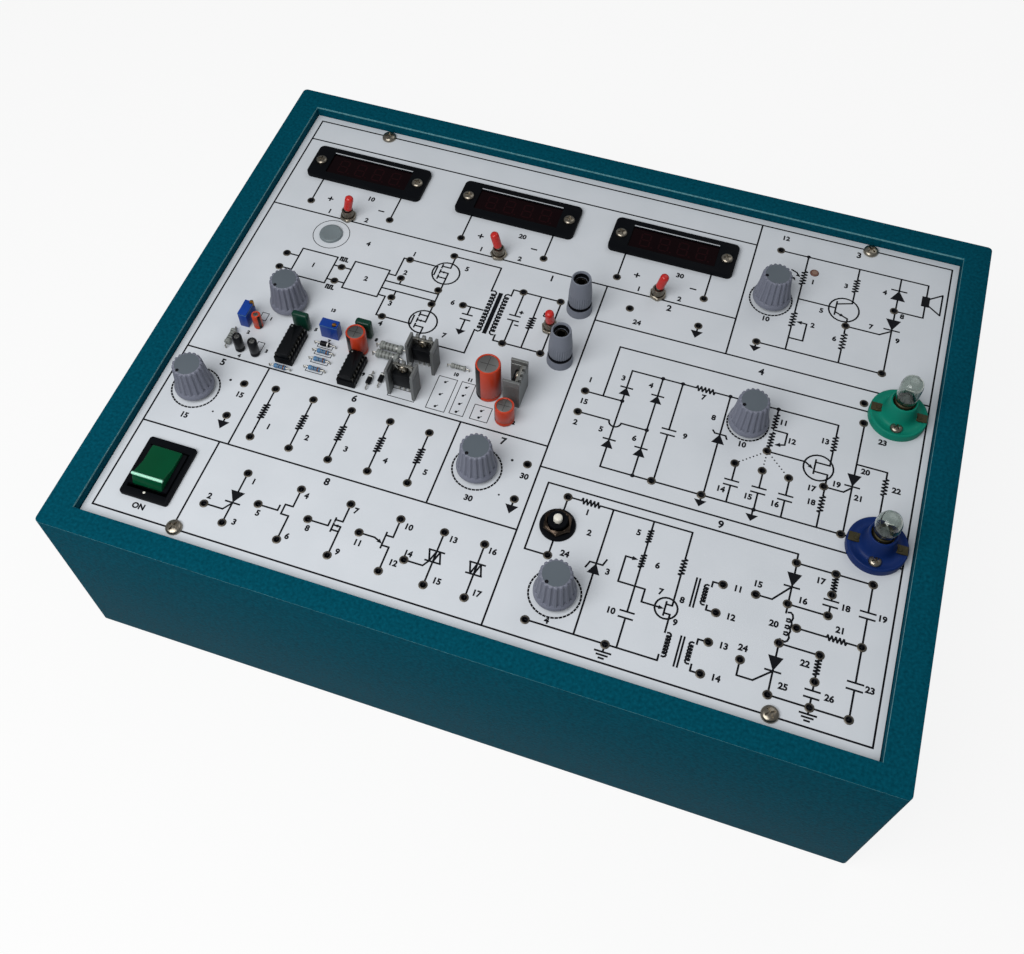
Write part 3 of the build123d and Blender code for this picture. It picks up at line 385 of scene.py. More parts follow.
def turned(profile, finish, sides=32, closed=False, smooth=40):
    """A round piece about the upright axis, from a run of (radius, height) in millimetres."""
    radius, height = profile[0]
    bpy.ops.object.select_all(action="DESELECT")
    fill = "NOTHING" if closed else "NGON"
    bpy.ops.mesh.primitive_circle_add(vertices=sides, radius=radius * mm, fill_type=fill)
    bpy.ops.object.mode_set(mode="EDIT")
    bpy.ops.mesh.select_all(action="SELECT")
    bpy.ops.transform.translate(value=(0, 0, height * mm))
    rings(profile + profile[:1] if closed else profile)
    bpy.ops.mesh.remove_doubles(threshold=weld)
    bpy.ops.mesh.normals_make_consistent(inside=False)
    bpy.ops.object.mode_set(mode="OBJECT")
    bpy.ops.object.shade_smooth_by_angle(angle=radians(smooth))
    return finished(bpy.context.object, finish)


def block(width, depth, height, finish, base=0, edge=0.0, x=0, y=0, segments=2):
    """A box that stands at a height, with rounded edges."""
    bpy.ops.object.select_all(action="DESELECT")
    middle = (x * mm, y * mm, (base + height / 2) * mm)
    bpy.ops.mesh.primitive_cube_add(size=mm, location=middle, scale=(width, depth, height))
    bpy.ops.object.transform_apply(location=True, rotation=True, scale=True)
    shape = finished(bpy.context.object, finish)
    return rounded(shape, edge, segments) if edge else shape

# %% [markdown]
# Shapes are cut with other shapes, laid in place, copied and joined. The last step names a piece,
# says which body it rides on and which CAD parts it stands for.

# %% Cut, place and join
def cut(shape, tool, operation="DIFFERENCE"):
    """Cut one shape with another, and drop the tool."""
    pick(shape)
    boolean = shape.modifiers.new("cut", "BOOLEAN")
    boolean.operation = operation
    boolean.object = tool
    bpy.ops.object.modifier_apply(modifier=boolean.name)
    bpy.data.objects.remove(tool)
    return shape


def laid(shape, place, turn=0, lean=0):
    """Turn and move a shape modelled at the origin, and keep the result in its mesh."""
    pick(shape)
    move = Matrix.Translation(place) @ Matrix.Rotation(radians(turn), 4, "Z")
    shape.matrix_world = move @ Matrix.Rotation(radians(lean), 4, "Y")
    bpy.ops.object.transform_apply(location=True, rotation=True, scale=True)
    return shape


def copies(master, places):
    """A copy of a shape, with a mesh of its own, at each (x, y, height, turn) of the panel."""
    made = [laid(twin(master), on_panel(x, y, height), turn) for x, y, height, turn in places]
    bpy.data.objects.remove(master)
    return made


def joined(shapes):
    """Join shapes into the first one."""
    pick(shapes[0])
    for shape in shapes:
        shape.select_set(True)
    bpy.ops.object.join()
    return bpy.context.object


def piece(name, shapes, body, slot, *replaced):
    """Join shapes into a named piece that rides on a body and stands for CAD nodes."""
    made = joined(shapes)
    made.name = name
    made.data.name = name
    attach(made, body)
    for node in replaced:
        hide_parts(node)
    print(name, len(made.data.polygons), "faces")
    return made


def tint(shape, finish, where):
    """Give another finish to the faces whose middle, in millimetres, passes a test."""
    shape.data.materials.append(finish)
    for face in shape.data.polygons:
        if where(face.center / mm):
            face.material_index = len(shape.data.materials) - 1
    return shape

# %% [markdown]
# The case is folded from one sheet and welded at the corners. The bends and the rim's inner edge
# have a small radius. Their faces get a pale dotted teal, a painted highlight along the edges.

# %% Case
half_wide, half_deep, rim_top = case_high.x / mm, case_high.y / mm, case_high.z / mm
rim_side, rim_end = 13.5, 12.2
bend, level = 0.8, 0.02


def on_rim_edge(middle):
    """True on the rounded edges round the rim, outside and inside, but not on its flat top."""
    out = max(abs(middle.x) - half_wide, abs(middle.y) - half_deep)
    lip = max(abs(middle.x) - (half_wide - rim_side), abs(middle.y) - (half_deep - rim_end))
    on_bend = rim_top - bend < middle.z < rim_top - level
    return on_bend and (out > -bend or abs(lip) < bend)


# The rounded rim edges get the pale teal, a painted highlight.
shell = tint(softened("cabinet", 0.7, powder_coat, 3), painted_edge_highlight, on_rim_edge)
piece("case_shell", [shell], "trainer", "case_paint", "cabinet")
angle = softened("welded_frames", 0.3, powder_coat, 1)
piece("panel_angle", [angle], "trainer", "case_paint", "welded_frames")

# %% [markdown]
# A pan head screw has a cross recess. It is modelled once for each size: a turned head, cut with
# two crossed bars. The copies get different turns, as nobody lines up screws.

# %% Screws
def screw(head, height, finish):
    """A pan head with a cross recess that stands on its seat."""
    radius = head / 2
    profile = [(1, 0), (1, 0.3), (0.93, 0.6), (0.75, 0.83), (0.45, 0.96), (0.15, 1)]
    shape = turned([(r * radius, h * height) for r, h in profile], finish, 24)
    for long, wide in ((0.6 * head, 0.13 * head), (0.13 * head, 0.6 * head)):
        shape = cut(shape, block(long, wide, height, finish, 0.45 * height))
    return shape


corners = ((60.5, 289.5, 0, 20), (339.5, 289.5, 0, 55), (60.5, 19.5, 0, 70), (339.5, 19.5, 0, 35))
large = copies(screw(8, 2.2, worn_nickel), corners)
meters, meter_row = (60.9, 150, 238.1), 258
places = [
    (x + side * 29.2, meter_row, 2.6, 35 + 17 * number + 40 * side)
    for number, x in enumerate(meters)
    for side in (-1, 1)
]
small = copies(screw(6.4, 1.6, worn_nickel), places)
lamps = ((368.2, 186.3), (369.5, 111.8))
domed = copies(screw(6, 2, worn_nickel), [(x, y - 9.4, 4.1, 25 + x) for x, y in lamps])
flush = screw(6.4, 0.4, zinc_plate)
inlet_low, inlet_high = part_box("mains_inlet")
middle = (inlet_low + inlet_high) / 2
heads = []
for side in (-20, 20):
    head = twin(flush)
    head.rotation_euler.x = radians(-90)
    head.location = (middle.x + side * mm, inlet_high.y, middle.z)
    pick(head)
    bpy.ops.object.transform_apply(location=True, rotation=True, scale=True)
    heads.append(head)
bpy.data.objects.remove(flush)
piece("pan_head_screws", large + small + domed + heads, "trainer", "screw_steel", "panel_screws")

# %% [markdown]
# The 96 patch sockets are eyelets for two millimetre plugs: a rolled lip on the print and a bore.
# Their nickel is painted nearly black, a painted reflection, and the bore is painted black, a painted
# shade, so on the panel they read as dark dots with a hole. The top faces of each CAD socket lie in
# a ring, and the middle of that ring is where its eyelet goes.

# %% Patch sockets
lip = [(1.1, -5.4), (1.8, -5.4), (1.8, 0), (2.15, 0), (2.15, 0.2), (1.9, 0.4), (1.5, 0.4), (1.1, 0.1)]
eyelet = turned(lip, nickel_painted_dark_reflection, 14, closed=True)
# The bore and the inner lip get black ink: painted shade in the hole.
eyelet = tint(eyelet, ink_and_painted_shade, lambda middle: hypot(middle.x, middle.y) < 1.45 and middle.z < 0.35)
tops = [Vector(face.center) for face in nodes["sockets"].data.polygons if face.normal.z > 0.9]
same_socket, whole_ring = 4, 4.5 * mm
places = []
for top in tops:
    if all(hypot(x - top.x / mm, y - top.y / mm) >= same_socket for x, y in places):
        ring = [other for other in tops if (other - top).length < whole_ring]
        middle = sum(ring, Vector()) / len(ring) / mm
        places.append((middle.x, middle.y))
print("sockets", len(places))
places = [(x - case_low.x / mm, y - case_low.y / mm, 0, 0) for x, y in places]
piece("patch_eyelets", copies(eyelet, places), "trainer", "socket_metal", "sockets")

# %% [markdown]
# A panel meter is a black frame, a deep red window and two screws. Unlit, its four seven-segment
# digits show as shapes only a little lighter than the window. The thin bright line behind the
# window is a painted highlight: a pale strip along the bevel.

# %% Panel meters
bezels = softened("meter_bezels", 0.5, black_abs)
piece("meter_frames", [bezels], "trainer", "bezel_plastic", "meter_bezels")
segments = []
for x in meters:
    # A pale strip behind the window: a painted highlight.
    bevel = block(47.4, 0.5, 0.3, window_edge_painted_highlight, 2.5)
    segments.append(laid(bevel, on_panel(x, 265.7)))
    first = x - 15.6
    for digit in range(4):
        for dx, dy, wide, deep in (
            (0, 4.4, 4, 0.8), (0, 0, 4, 0.8), (0, -4.4, 4, 0.8),
            (-2.5, 2.2, 0.8, 3.6), (2.5, 2.2, 0.8, 3.6), (-2.5, -2.2, 0.8, 3.6), (2.5, -2.2, 0.8, 3.6),
            (4.2, -4.4, 0.9, 0.9),
        ):
            bar = block(wide, deep, 0.05, dim_segment, 1.59)
            segments.append(laid(bar, on_panel(first + 10.4 * digit + dx, meter_row + dy)))
piece("meter_digits", segments, "trainer", "window_plastic")

# %% [markdown]
# A control knob is one moulding. Eighteen shallow flutes run up the grip, which tapers to a flat
# top. The flutes are moulded into the first ring, so every ring above it keeps them. A smooth
# skirt closes the foot, and a black dot near the edge of the top marks the setting.

# %% Knobs
def fluted(profile, finish, flutes, depth, flat=0.5):
    """A turned shape with flutes. Their depth is a share of the radius, and flat its share beside."""
    steps = 6
    radius, height = profile[0]
    bpy.ops.object.select_all(action="DESELECT")
    bpy.ops.mesh.primitive_circle_add(vertices=flutes * steps, radius=radius * mm, fill_type="NGON")
    shape = bpy.context.object
    bpy.ops.object.mode_set(mode="EDIT")
    for places, share in (((2,), depth), ((1, 3), depth * flat)):
        mesh = bmesh.from_edit_mesh(shape.data)
        bpy.ops.mesh.select_all(action="DESELECT")
        mesh.verts.ensure_lookup_table()
        for vertex in mesh.verts:
            vertex.select = vertex.index % steps in places
        mesh.select_flush(False)
        bmesh.update_edit_mesh(shape.data)
        bpy.ops.transform.resize(value=(1 - share, 1 - share, 1), center_override=(0, 0, 0))
    bpy.ops.mesh.select_all(action="SELECT")
    bpy.ops.transform.translate(value=(0, 0, height * mm))
    rings(profile)
    bpy.ops.mesh.normals_make_consistent(inside=False)
    bpy.ops.object.mode_set(mode="OBJECT")
    bpy.ops.object.shade_smooth_by_angle(angle=radians(50))
    return finished(shape, finish)


grip_profile = [(9.6, 1.2), (9.1, 4), (8.3, 9), (7.6, 16.8), (7.4, 17.5), (7, 17.8)]
grip = fluted(grip_profile, knob_grey, 18, 0.095, 0.75)
skirt_profile = [(7.3, 0), (9.6, 0), (9.9, 0.3), (9.9, 1.6), (9.6, 2.4), (9, 3.2), (7.3, 3.2)]
skirt = turned(skirt_profile, knob_grey, 54, closed=True)
top = turned([(6.2, 17.75), (6.2, 17.84), (5.9, 17.84)], knob_top_grey, 48)
pit = laid(turned([(0.9, 17.7), (0.9, 17.9), (0.7, 17.92)], ink_and_painted_shade, 16), (5.6 * mm, 0, 0))
knob_master = joined([grip, skirt, top, pit])
knobs = {
    "pwm": (56.6, 158.1, 240), "dc_left": (34, 94.2, 240), "dc_right": (183, 94.2, 240),
    "inverter": (237.5, 43.9, 240), "flasher": (300, 160, 222), "alarm": (295, 240.4, 205),
}
made = copies(knob_master, [(x, y, 2.2, turn) for x, y, turn in knobs.values()])
for name, shape in zip(knobs, made):
    piece(f"{name}_knob", [shape], f"{name}_control", "knob_plastic", f"knob_{name}")

# %% [markdown]
# The nuts are turned hexagons with chamfered corners. The potentiometers' nuts hide in the knobs.

# %% Nuts
def nut(across, bore, height, finish):
    """A hexagon nut with chamfered corners and a round bore."""
    corner = across / 2 / cos(radians(30))
    shape = turned([(corner, 0), (corner, height)], finish, 6)
    flat = across / 2
    chamfer = [(flat + 0.2, -0.1), (corner, 0.4), (corner, height - 0.5), (flat, height)]
    shape = cut(shape, turned(chamfer, finish, 48), "INTERSECT")
    return cut(shape, turned([(bore / 2, -1), (bore / 2, height + 1)], finish, 24))


toggles = [(62, 224.4, 0), (149.8, 224.4, 180), (238.1, 224.4, 0), (191, 185.3, 270)]
pot_nuts = copies(nut(9.5, 7.8, 2, zinc_plate), [(x, y, 0, turn) for x, y, turn in knobs.values()])
toggle_nuts = copies(nut(8.05, 6.35, 2, worn_nickel), [(x, y, 0, 11 + x) for x, y, turn in toggles])
breaker_at = (228.6, 77)
breaker_nut = laid(nut(12.4, 9.4, 2.6, bronze_nut), on_panel(*breaker_at, 1.4), 8)
ring = [(4.7, 0), (8.5, 0), (8.5, 0.7), (8.1, 1.3), (7.6, 1.4), (4.7, 1.4)]
flange = laid(turned(ring, black_abs, 48, closed=True), on_panel(*breaker_at))
piece("hexagon_nuts", pot_nuts + toggle_nuts + [breaker_nut, flange], "trainer", "nut_metal", "panel_nuts")

# %% [markdown]
# The breaker's bushing stands in its nut, and a white button comes up through it.

# %% Breaker
breaker = softened("breaker_body", 0.15, black_abs, 1)
piece("breaker_housing", [breaker], "trainer", "control_plastic", "breaker_body")
stem = [(2.1, -7.6), (2.1, 7.4), (1.95, 8), (1.55, 8.4), (0.8, 8.5)]
button = laid(turned(stem, white_nylon, 24), on_panel(*breaker_at))
piece("reset_button", [button], "breaker_reset", "knob_plastic", "breaker_button")

# %% [markdown]
# A miniature toggle has a threaded bushing with an open mouth, where the lever's ball sits. A red
# vinyl sleeve is pushed over the lever: it is a little wider at its foot and round at its end.

# %% Toggles
thread = [(2.35, 4), (2.35, 5.9), (2.9, 5.9), (3.17, 5.5)]
for turn in range(5):
    thread += [(3.0, 5.2 - 0.8 * turn), (3.17, 4.85 - 0.8 * turn)]
thread += [(3.17, -1.6), (2.35, -1.6)]
bushing = turned(thread, worn_nickel, 24, closed=True)
bushings = copies(bushing, [(x, y, 0, 0) for x, y, turn in toggles])
cases = copies(block(13, 8, 10, blue_diallyl, -11.6, 0.4), [(x, y, 0, turn) for x, y, turn in toggles])
piece("toggle_cases", bushings + cases, "trainer", "toggle_metal", "toggle_bodies")
ball = [(0.6, -1.85), (1.5, -1.2), (1.93, 0), (1.7, 1), (1.1, 1.6), (1.1, 5.4)]
sleeve = [(1.2, 2), (2.2, 2), (2.35, 2.4), (2.25, 3.4), (2.35, 9.2), (2.2, 10.4), (1.7, 11.1), (0.8, 11.4)]
for number, (x, y, turn) in enumerate(toggles, 1):
    lever = joined([turned(ball, worn_nickel, 20), turned(sleeve, red_vinyl, 24)])
    lever = laid(lever, on_panel(x, y, 5.2), turn, 13)
    piece(f"toggle_stick_{number}", [lever], f"toggle_{number}", "sleeve_plastic", f"toggle_lever_{number}")

# %% [markdown]
# A binding post: a collar on the panel, a bored stud, and a cap that screws down on a wire.
# The cap is finely ribbed below for the fingers, smooth and tapered above, with a flared mouth.
# A black ring on the collar and the dark stud are painted shade in the gap under the cap, and a
# black cone inside the mouth is painted shade there.

# %% Binding posts
posts = [(201.7, 202.3), (201.7, 167.7)]
foot = [(2.05, 0), (6.7, 0), (6.7, 1.4), (6.5, 1.7), (6.5, 4.6), (6.3, 5), (6.1, 5)]
foot += [(6.05, 4.6), (2.05, 4.6)]
collar = turned(foot, post_grey, 48, closed=True)
# A black ring on the collar, under the cap: painted shade in the gap.
gap_painted_shade = turned([(2.1, 4.5), (6.04, 4.5), (6.04, 4.7), (2.1, 4.7)], ink_and_painted_shade, 40, closed=True)
collars = copies(joined([collar, gap_painted_shade]), [(x, y, 0, 0) for x, y in posts])
piece("binding_collars", collars, "trainer", "post_plastic", "post_collars")
# The studs are dark: painted shade for the gap under the cap and for the mouth.
studs = softened("post_studs", 0.1, black_nickel_and_painted_shade, 1)
piece("binding_studs", [studs], "trainer", "brass", "post_studs")
grip = [(5.5, 6.3), (5.8, 6.8), (6.1, 8), (6.0, 14.2), (5.8, 14.8)]
cone = [(3.15, 14.6), (6, 14.6), (5.95, 15), (5.05, 24.4), (4.85, 24.9), (4.6, 25), (4.3, 24.9)]
cone += [(3.9, 24.2), (3.5, 22), (3.15, 22)]
# A black cone inside the mouth: painted shade.
mouth_painted_shade_profile = [(3.2, 22.05), (3.45, 22.05), (3.82, 24.1), (3.72, 24.1)]
for number, (x, y) in enumerate(posts, 1):
    ribs = fluted(grip, post_grey, 30, 0.045)
    ribs = cut(ribs, turned([(3.15, 6), (3.15, 15)], black_abs, 24))
    cap = turned(cone, post_grey, 40, closed=True)
    mouth_painted_shade = turned(mouth_painted_shade_profile, black_abs, 32, closed=True)
    shape = laid(joined([ribs, cap, mouth_painted_shade]), on_panel(x, y))
    piece(f"binding_cap_{number}", [shape], f"post_{number}", "post_plastic", f"post_cap_{number}")

# %% [markdown]
# The power switch has a glossy dark green lens between black sides. A pale green bar on its front
# ridge is a painted highlight, one bright line. A white dot on the frame marks ON.

# %% Rocker switch
switch = softened("rocker_frame", 0.3, black_abs)
dot_mark = laid(turned([(0.6, 2), (0.6, 2.05), (0.5, 2.08)], white_nylon, 16), on_panel(39.3, 31))
piece("switch_frame", [switch, dot_mark], "trainer", "rocker_plastic", "rocker_frame")
lens = softened("rocker", 0.5, green_rocker, 3)
sides = softened("rocker", 0.4, black_abs)
middle = on_panel(39.9, 44.2)
rocker_wide, lens_wide = 22.2, 17.2
pick(lens)
bpy.ops.object.mode_set(mode="EDIT")
bpy.ops.mesh.select_all(action="SELECT")
bpy.ops.transform.resize(value=(lens_wide / rocker_wide, 1, 1), center_override=middle)
bpy.ops.object.mode_set(mode="OBJECT")
keep = block(40, 40, 20, black_abs, -16.9)
sides = cut(sides, laid(keep, middle), "INTERSECT")
# The pale bar along the front ridge is a painted highlight.
ridge = [(0.5, -8.2), (0.75, -8), (0.75, 8), (0.5, 8.2)]
glint = laid(turned(ridge, ridge_painted_highlight, 16), (0, 0, 0), 0, 90)
glint = laid(glint, on_panel(39.9, 36.3, 8.15))
piece("switch_rocker", [lens, sides, glint], "power_rocker", "rocker_plastic", "rocker")

# %% [markdown]
# A lamp holder is moulded phenolic: a dished base and a boss that flares into it. Two tarnished tags
# lie on the base, and the bulb's brass shell goes into the boss.

# %% Lamp holders
dish = [
    (14, 0), (14, 3.9), (13.8, 4.4), (13.3, 4.6), (12.8, 4.5), (12, 4.2), (10.5, 4), (9.4, 4.2),
    (8.6, 4.9), (7.9, 6.2), (7.4, 8.4), (7, 11.5), (6.6, 14.3), (6.4, 14.8), (6.1, 15), (5.8, 14.9),
    (5.45, 14.4), (5.45, 3),
]
shells = softened("lamp_contacts", 0.05, brown_brass, 1)
tag_bumps = []
for (x, y), finish, name in zip(lamps, (green_holder, blue_holder), ("green", "blue")):
    holder = laid(turned(dish, finish, 56, smooth=60), on_panel(x, y))
    piece(f"{name}_holder", [holder], "trainer", f"{name}_plastic", f"{name}_lamp_holder")
    for side in (-1, 1):
        tag = block(5.8, 4.6, 0.7, brown_brass, 4.35, 0.15, x=side * 10.6)
        bump = turned([(1.4, 5), (1.2, 5.4), (0.5, 5.6)], brown_brass, 14)
        tag_bumps += [laid(tag, on_panel(x, y)), laid(bump, on_panel(x + side * 9.8, y))]
piece("lamp_tags", [shells, *tag_bumps], "trainer", "brass", "lamp_contacts")

# %% [markdown]
# Each bulb's glass is blown a little differently, so each has a profile of its own. It is drawn as
# a thin shell, which bends light as real glass does, with a bead, two wires and a filament inside.

# %% Bulbs
bulbs = []
thick = 0.45
shapes = (
    [(4.2, 15.3), (4.8, 16.2), (5.2, 18), (5.3, 21), (5.3, 27.6), (4.9, 29.4), (3.9, 30.7), (2.2, 31.4)],
    [(4.2, 15.3), (4.7, 16), (5.5, 18.2), (6, 21.4), (5.8, 24.6), (4.8, 27.2), (3.2, 28.6), (1.6, 29)],
)
for (x, y), outside in zip(lamps, shapes):
    inside = [(r - thick, h - (thick if r < 4 and h > 20 else 0)) for r, h in reversed(outside)]
    crown = [(0.15, outside[-1][1]), (0.15, inside[0][1])]
    glass = turned([*outside, *crown, *inside], clear_glass, 32, closed=True, smooth=70)
    cap = turned([(4.7, 3.05), (4.7, 15.2), (4.3, 15.6), (1.4, 15.6)], brown_brass, 28)
    bead = turned([(2.6, 15.4), (1.5, 17.5), (1.2, 19), (0.7, 19.8)], grey_glass, 16)
    wires = []
    for side in (-1, 1):
        wire = block(0.25, 0.25, 4.6, tinned_copper, 19.2)
        wires.append(laid(wire, (side * 0.9 * mm, 0, 0), 0, side * 7))
    # The filament's near white is a painted highlight.
    thread = laid(turned([(0.22, -1.9), (0.22, 1.9)], filament_painted_highlight, 8), (0, 0, 23.4 * mm), 0, 90)
    bulbs.append(laid(joined([glass, cap, bead, *wires, thread]), on_panel(x, y)))
piece("glass_bulbs", bulbs, "trainer", "bulb_glass", "lamp_bulbs")

# %% [markdown]
# Two integrated circuits sit in sockets. A chip's body is moulded with soft edges and a notch, and
# each leg leaves its side as a shoulder, turns down and goes into the socket.

# %% Integrated circuits
chips = []
frames = [softened("dip_sockets", 0.2, black_abs, 1)]
pitch = 2.54
for x, y, pairs in ((69.7, 131.2, 8), (105, 127.2, 7)):
    length = pairs * pitch
    body = block(6.6, length - 1, 3.4, black_epoxy, 5, 0.45)
    body = cut(body, laid(turned([(1, 7.6), (1, 9)], black_epoxy, 20), (0, (length / 2 - 0.6) * mm, 0)))
    legs = []
    for pair in range(pairs):
        along = (pair - (pairs - 1) / 2) * pitch
        for side in (-1, 1):
            for wide, deep, tall, base, out in (
                (1, 1.1, 0.25, 6.5, 3.55), (0.25, 1.1, 1.6, 5.1, 4), (0.25, 0.6, 1.2, 4.2, 4),
            ):
                legs.append(block(wide, deep, tall, dull_tin, base, x=side * out, y=along))
            contact = block(0.8, 1, 0.1, dull_tin, 4.36, x=side * 3.8, y=along)
            pin = block(0.25, 0.7, 3.6, black_nickel_and_painted_shade, 0.4, x=side * 4.75, y=along)
            frames += [laid(contact, on_panel(x, y)), laid(pin, on_panel(x, y))]
    mark = turned([(0.4, 8.36), (0.4, 8.42)], grey_lacquer, 12)
    mark = laid(mark, (-2 * mm, (length / 2 - 2) * mm, 0))
    chips.append(laid(joined([body, *legs, mark]), on_panel(x, y)))
piece("chip_sockets", frames, "trainer", "chip_plastic", "dip_sockets")
piece("chips", chips, "trainer", "chip_plastic", "dip_chips")

# %% [markdown]
# The trimmers are sealed blue blocks with a paler lid and a small brass screw.

# %% Trimmers
trimmers = [softened("trimmer_bodies", 0.35, blue_diallyl)]
for x, y, wide, deep in ((40.7, 141.7, 4.8, 9.6), (85.7, 146, 9.5, 4.8)):
    trimmers.append(laid(block(wide + 0.1, deep + 0.1, 0.5, blue_lacquer, 9.0), on_panel(x, y)))
piece("trimmer_blocks", trimmers, "trainer", "trimmer_plastic", "trimmer_bodies")

# %% [markdown]
# An electrolytic capacitor is an aluminium can in a shrunk sleeve. The sleeve folds a little over
# the top, a groove clamps the seal near the foot, and a printed stripe marks the negative lead. The
# scored cross on the top lets pressure out.

# %% Can capacitors
def can(width, height, sleeve, stripe, stripe_angle, spread):
    """A sleeved can with a bare top, a groove and a stripe on one side."""
    r = width / 2
    outside = [
        (r - 0.9, 0.1), (r - 0.3, 0.1), (r, 0.5), (r, 1.5), (r - 0.35, 2), (r - 0.35, 2.4), (r, 2.9),
        (r, height - 0.7), (r - 0.25, height - 0.15), (r - 0.8, height), (r - 1, height - 0.1),
        (r - 1, height - 0.5),
    ]
    shape = turned([*outside, (r - 1.2, height - 0.5), (r - 1.2, 0.1)], sleeve, 36, closed=True)

    def on_stripe(middle):
        away = (atan2(middle.y, middle.x) - radians(stripe_angle) + pi) % (2 * pi) - pi
        return abs(away) < radians(spread) and hypot(middle.x, middle.y) > r - 0.5

    shape = tint(shape, stripe, on_stripe)
    lid = turned([(r - 1.1, 0.2), (r - 1.1, height - 0.35), (r - 1.3, height - 0.28)], bare_aluminium, 30)
    long, thin = 1.3 * r, 0.18
    cross = ((long, thin), (thin, long))
    scores = [block(wide, deep, 0.06, black_nickel_and_painted_shade, height - 0.31) for wide, deep in cross]
    return joined([shape, lid, *scores])


cans = []
for x, y, width, height, sleeve, stripe, angle, spread in (
    (102.5, 141.3, 10.2, 15.5, orange_sleeve, black_ink, 240, 18),
    (174, 137.8, 12.6, 24, orange_sleeve, black_ink, 228, 24),
    (186.5, 125.1, 9.8, 12, orange_sleeve, black_ink, 200, 24),
    (44.8, 123, 5, 11, black_sleeve, pale_ink, 60, 16),
    (53.4, 122.6, 5, 11, black_sleeve, pale_ink, 190, 16),
    (47.5, 139.4, 4.8, 10, orange_sleeve, black_ink, 330, 22),
):
    cans.append(laid(can(width, height, sleeve, stripe, angle, spread), on_panel(x, y)))
piece("electrolytic_cans", cans, "trainer", "can_sleeve", "can_capacitors")

# %% [markdown]
# The film capacitors are dipped in green epoxy, which rounds every edge.

# %% Film capacitors
films = []
for x, y, wide, deep in ((69.8, 145.5, 9, 3.6), (102.4, 151, 8.5, 4)):
    body = block(wide, deep, 12, green_dip, 0.4, 1.3, segments=4)
    leads = [block(0.6, 0.6, 1.4, tinned_copper, 0, x=side * wide / 4) for side in (-1, 1)]
    films.append(laid(joined([body, *leads]), on_panel(x, y)))
piece("film_blocks", films, "trainer", "film_coating", "block_capacitors")

# %% [markdown]
# Resistors and diodes lie on the print with their wires bent down. A film resistor has a thicker
# cap at each end, and its value is a row of colour bands. A diode has one band, at its cathode.

# %% Lying parts
def lying(profile, finish, span, bands, sides=20):
    """A round body on its side, with bands between pairs of places along it, and two bent wires."""
    thick = max(r for r, h in profile)
    body = turned(profile, finish, sides)
    for band, low, high in bands:
        body = tint(body, band, lambda middle: low < middle.z < high)
    end = span / 2 - 0.3
    wire = turned([(0.3, -end), (0.3, end)], tinned_copper, 8)
    both = laid(joined([body, wire]), (0, 0, (0.4 + thick) * mm), 0, 90)
    feet = [block(0.6, 0.6, 0.7 + thick, tinned_copper, 0, 0.1, x=x) for x in (-end, end)]
    return joined([both, *feet])


def ends_and_bands(radius, length, ends, edges):
    """The profile of a dog-bone body, with a ring at each band's edge so that it can be tinted."""
    half, waist = length / 2, 0.85 * radius
    profile = [(0.4 * radius, -half), (0.9 * radius, -half + 0.15), (radius, -half + 0.5)]
    profile += [(radius, -half + ends), (waist, -half + ends + 0.3)]
    profile += [(waist, edge) for edge in edges]
    profile += [(waist, half - ends - 0.3), (radius, half - ends), (radius, half - 0.5)]
    return profile + [(0.9 * radius, half - 0.15), (0.4 * radius, half)]


edges = (-1.2, -0.8, -0.3, 0.1, 0.6, 1)
film_shape = ends_and_bands(1.2, 6.3, 1.5, edges)
film_bands = ((dark_band, -1.2, -0.8), (black_ink, -0.3, 0.1), (dark_band, 0.6, 1))
end_band = ((brown_band, 1.8, 2.6),)
resistor_master = lying(film_shape, blue_lacquer, 12, (*film_bands, *end_band))
places = [(86.2, 133.7, 0, 0), (86.5, 128.5, 0, 0), (86.2, 122.6, 0, 0), (69.2, 118.2, 0, 0)]
piece("film_resistors", copies(resistor_master, places), "trainer", "resistor_body", "resistors")

# %% [markdown]
# The larger resistors have the same shape, with bands at shares of their length. The diodes are
# black rods with one pale band.

# %% Power resistors and diodes
power = []
for x, y, thick, length, span, turn in (
    (118.8, 146.5, 4.6, 12, 17, 0), (118.8, 141, 4.6, 12, 17, 0), (154.9, 146.2, 2.8, 8, 12, 0),
    (37.5, 127.5, 3.5, 9, 13, 90),
):
    edges = [length * share for share in (-0.26, -0.2, -0.1, -0.04, 0.06, 0.12, 0.24, 0.3)]
    shape = ends_and_bands(thick / 2, length, length * 0.14, edges)
    bands = [(dark_band, edges[i], edges[i + 1]) for i in (0, 2, 4)]
    bands.append((bare_aluminium, edges[6], edges[7]))
    power.append(laid(lying(shape, grey_lacquer, span, bands, 24), on_panel(x, y), turn))
piece("power_film_resistors", power, "trainer", "cement_body", "power_resistors")

rods = []
for x, y, thick, length, span, turn in (
    (85.4, 138.4, 2.7, 5.2, 12, 0), (115.2, 125, 2.6, 5, 11, 90), (120.5, 128, 2.6, 5, 11, 90),
):
    r, half = thick / 2, length / 2
    shape = [(0.5, -half), (r, -half + 0.2), (r, half - 1.4), (r, half - 0.7), (r, half - 0.2), (0.5, half)]
    rod = lying(shape, black_epoxy, span, [(pale_ink, half - 1.4, half - 0.7)])
    rods.append(laid(rod, on_panel(x, y), turn))
piece("diode_rods", rods, "trainer", "diode_body", "diodes")

# %% [markdown]
# The heat sinks are cut from an extruded channel, so they have a satin grey surface and fine ribs
# down their sides. Each transistor's tab is screwed to the web. The tab has a hole, and the moulded
# body has soft edges and a dimple.

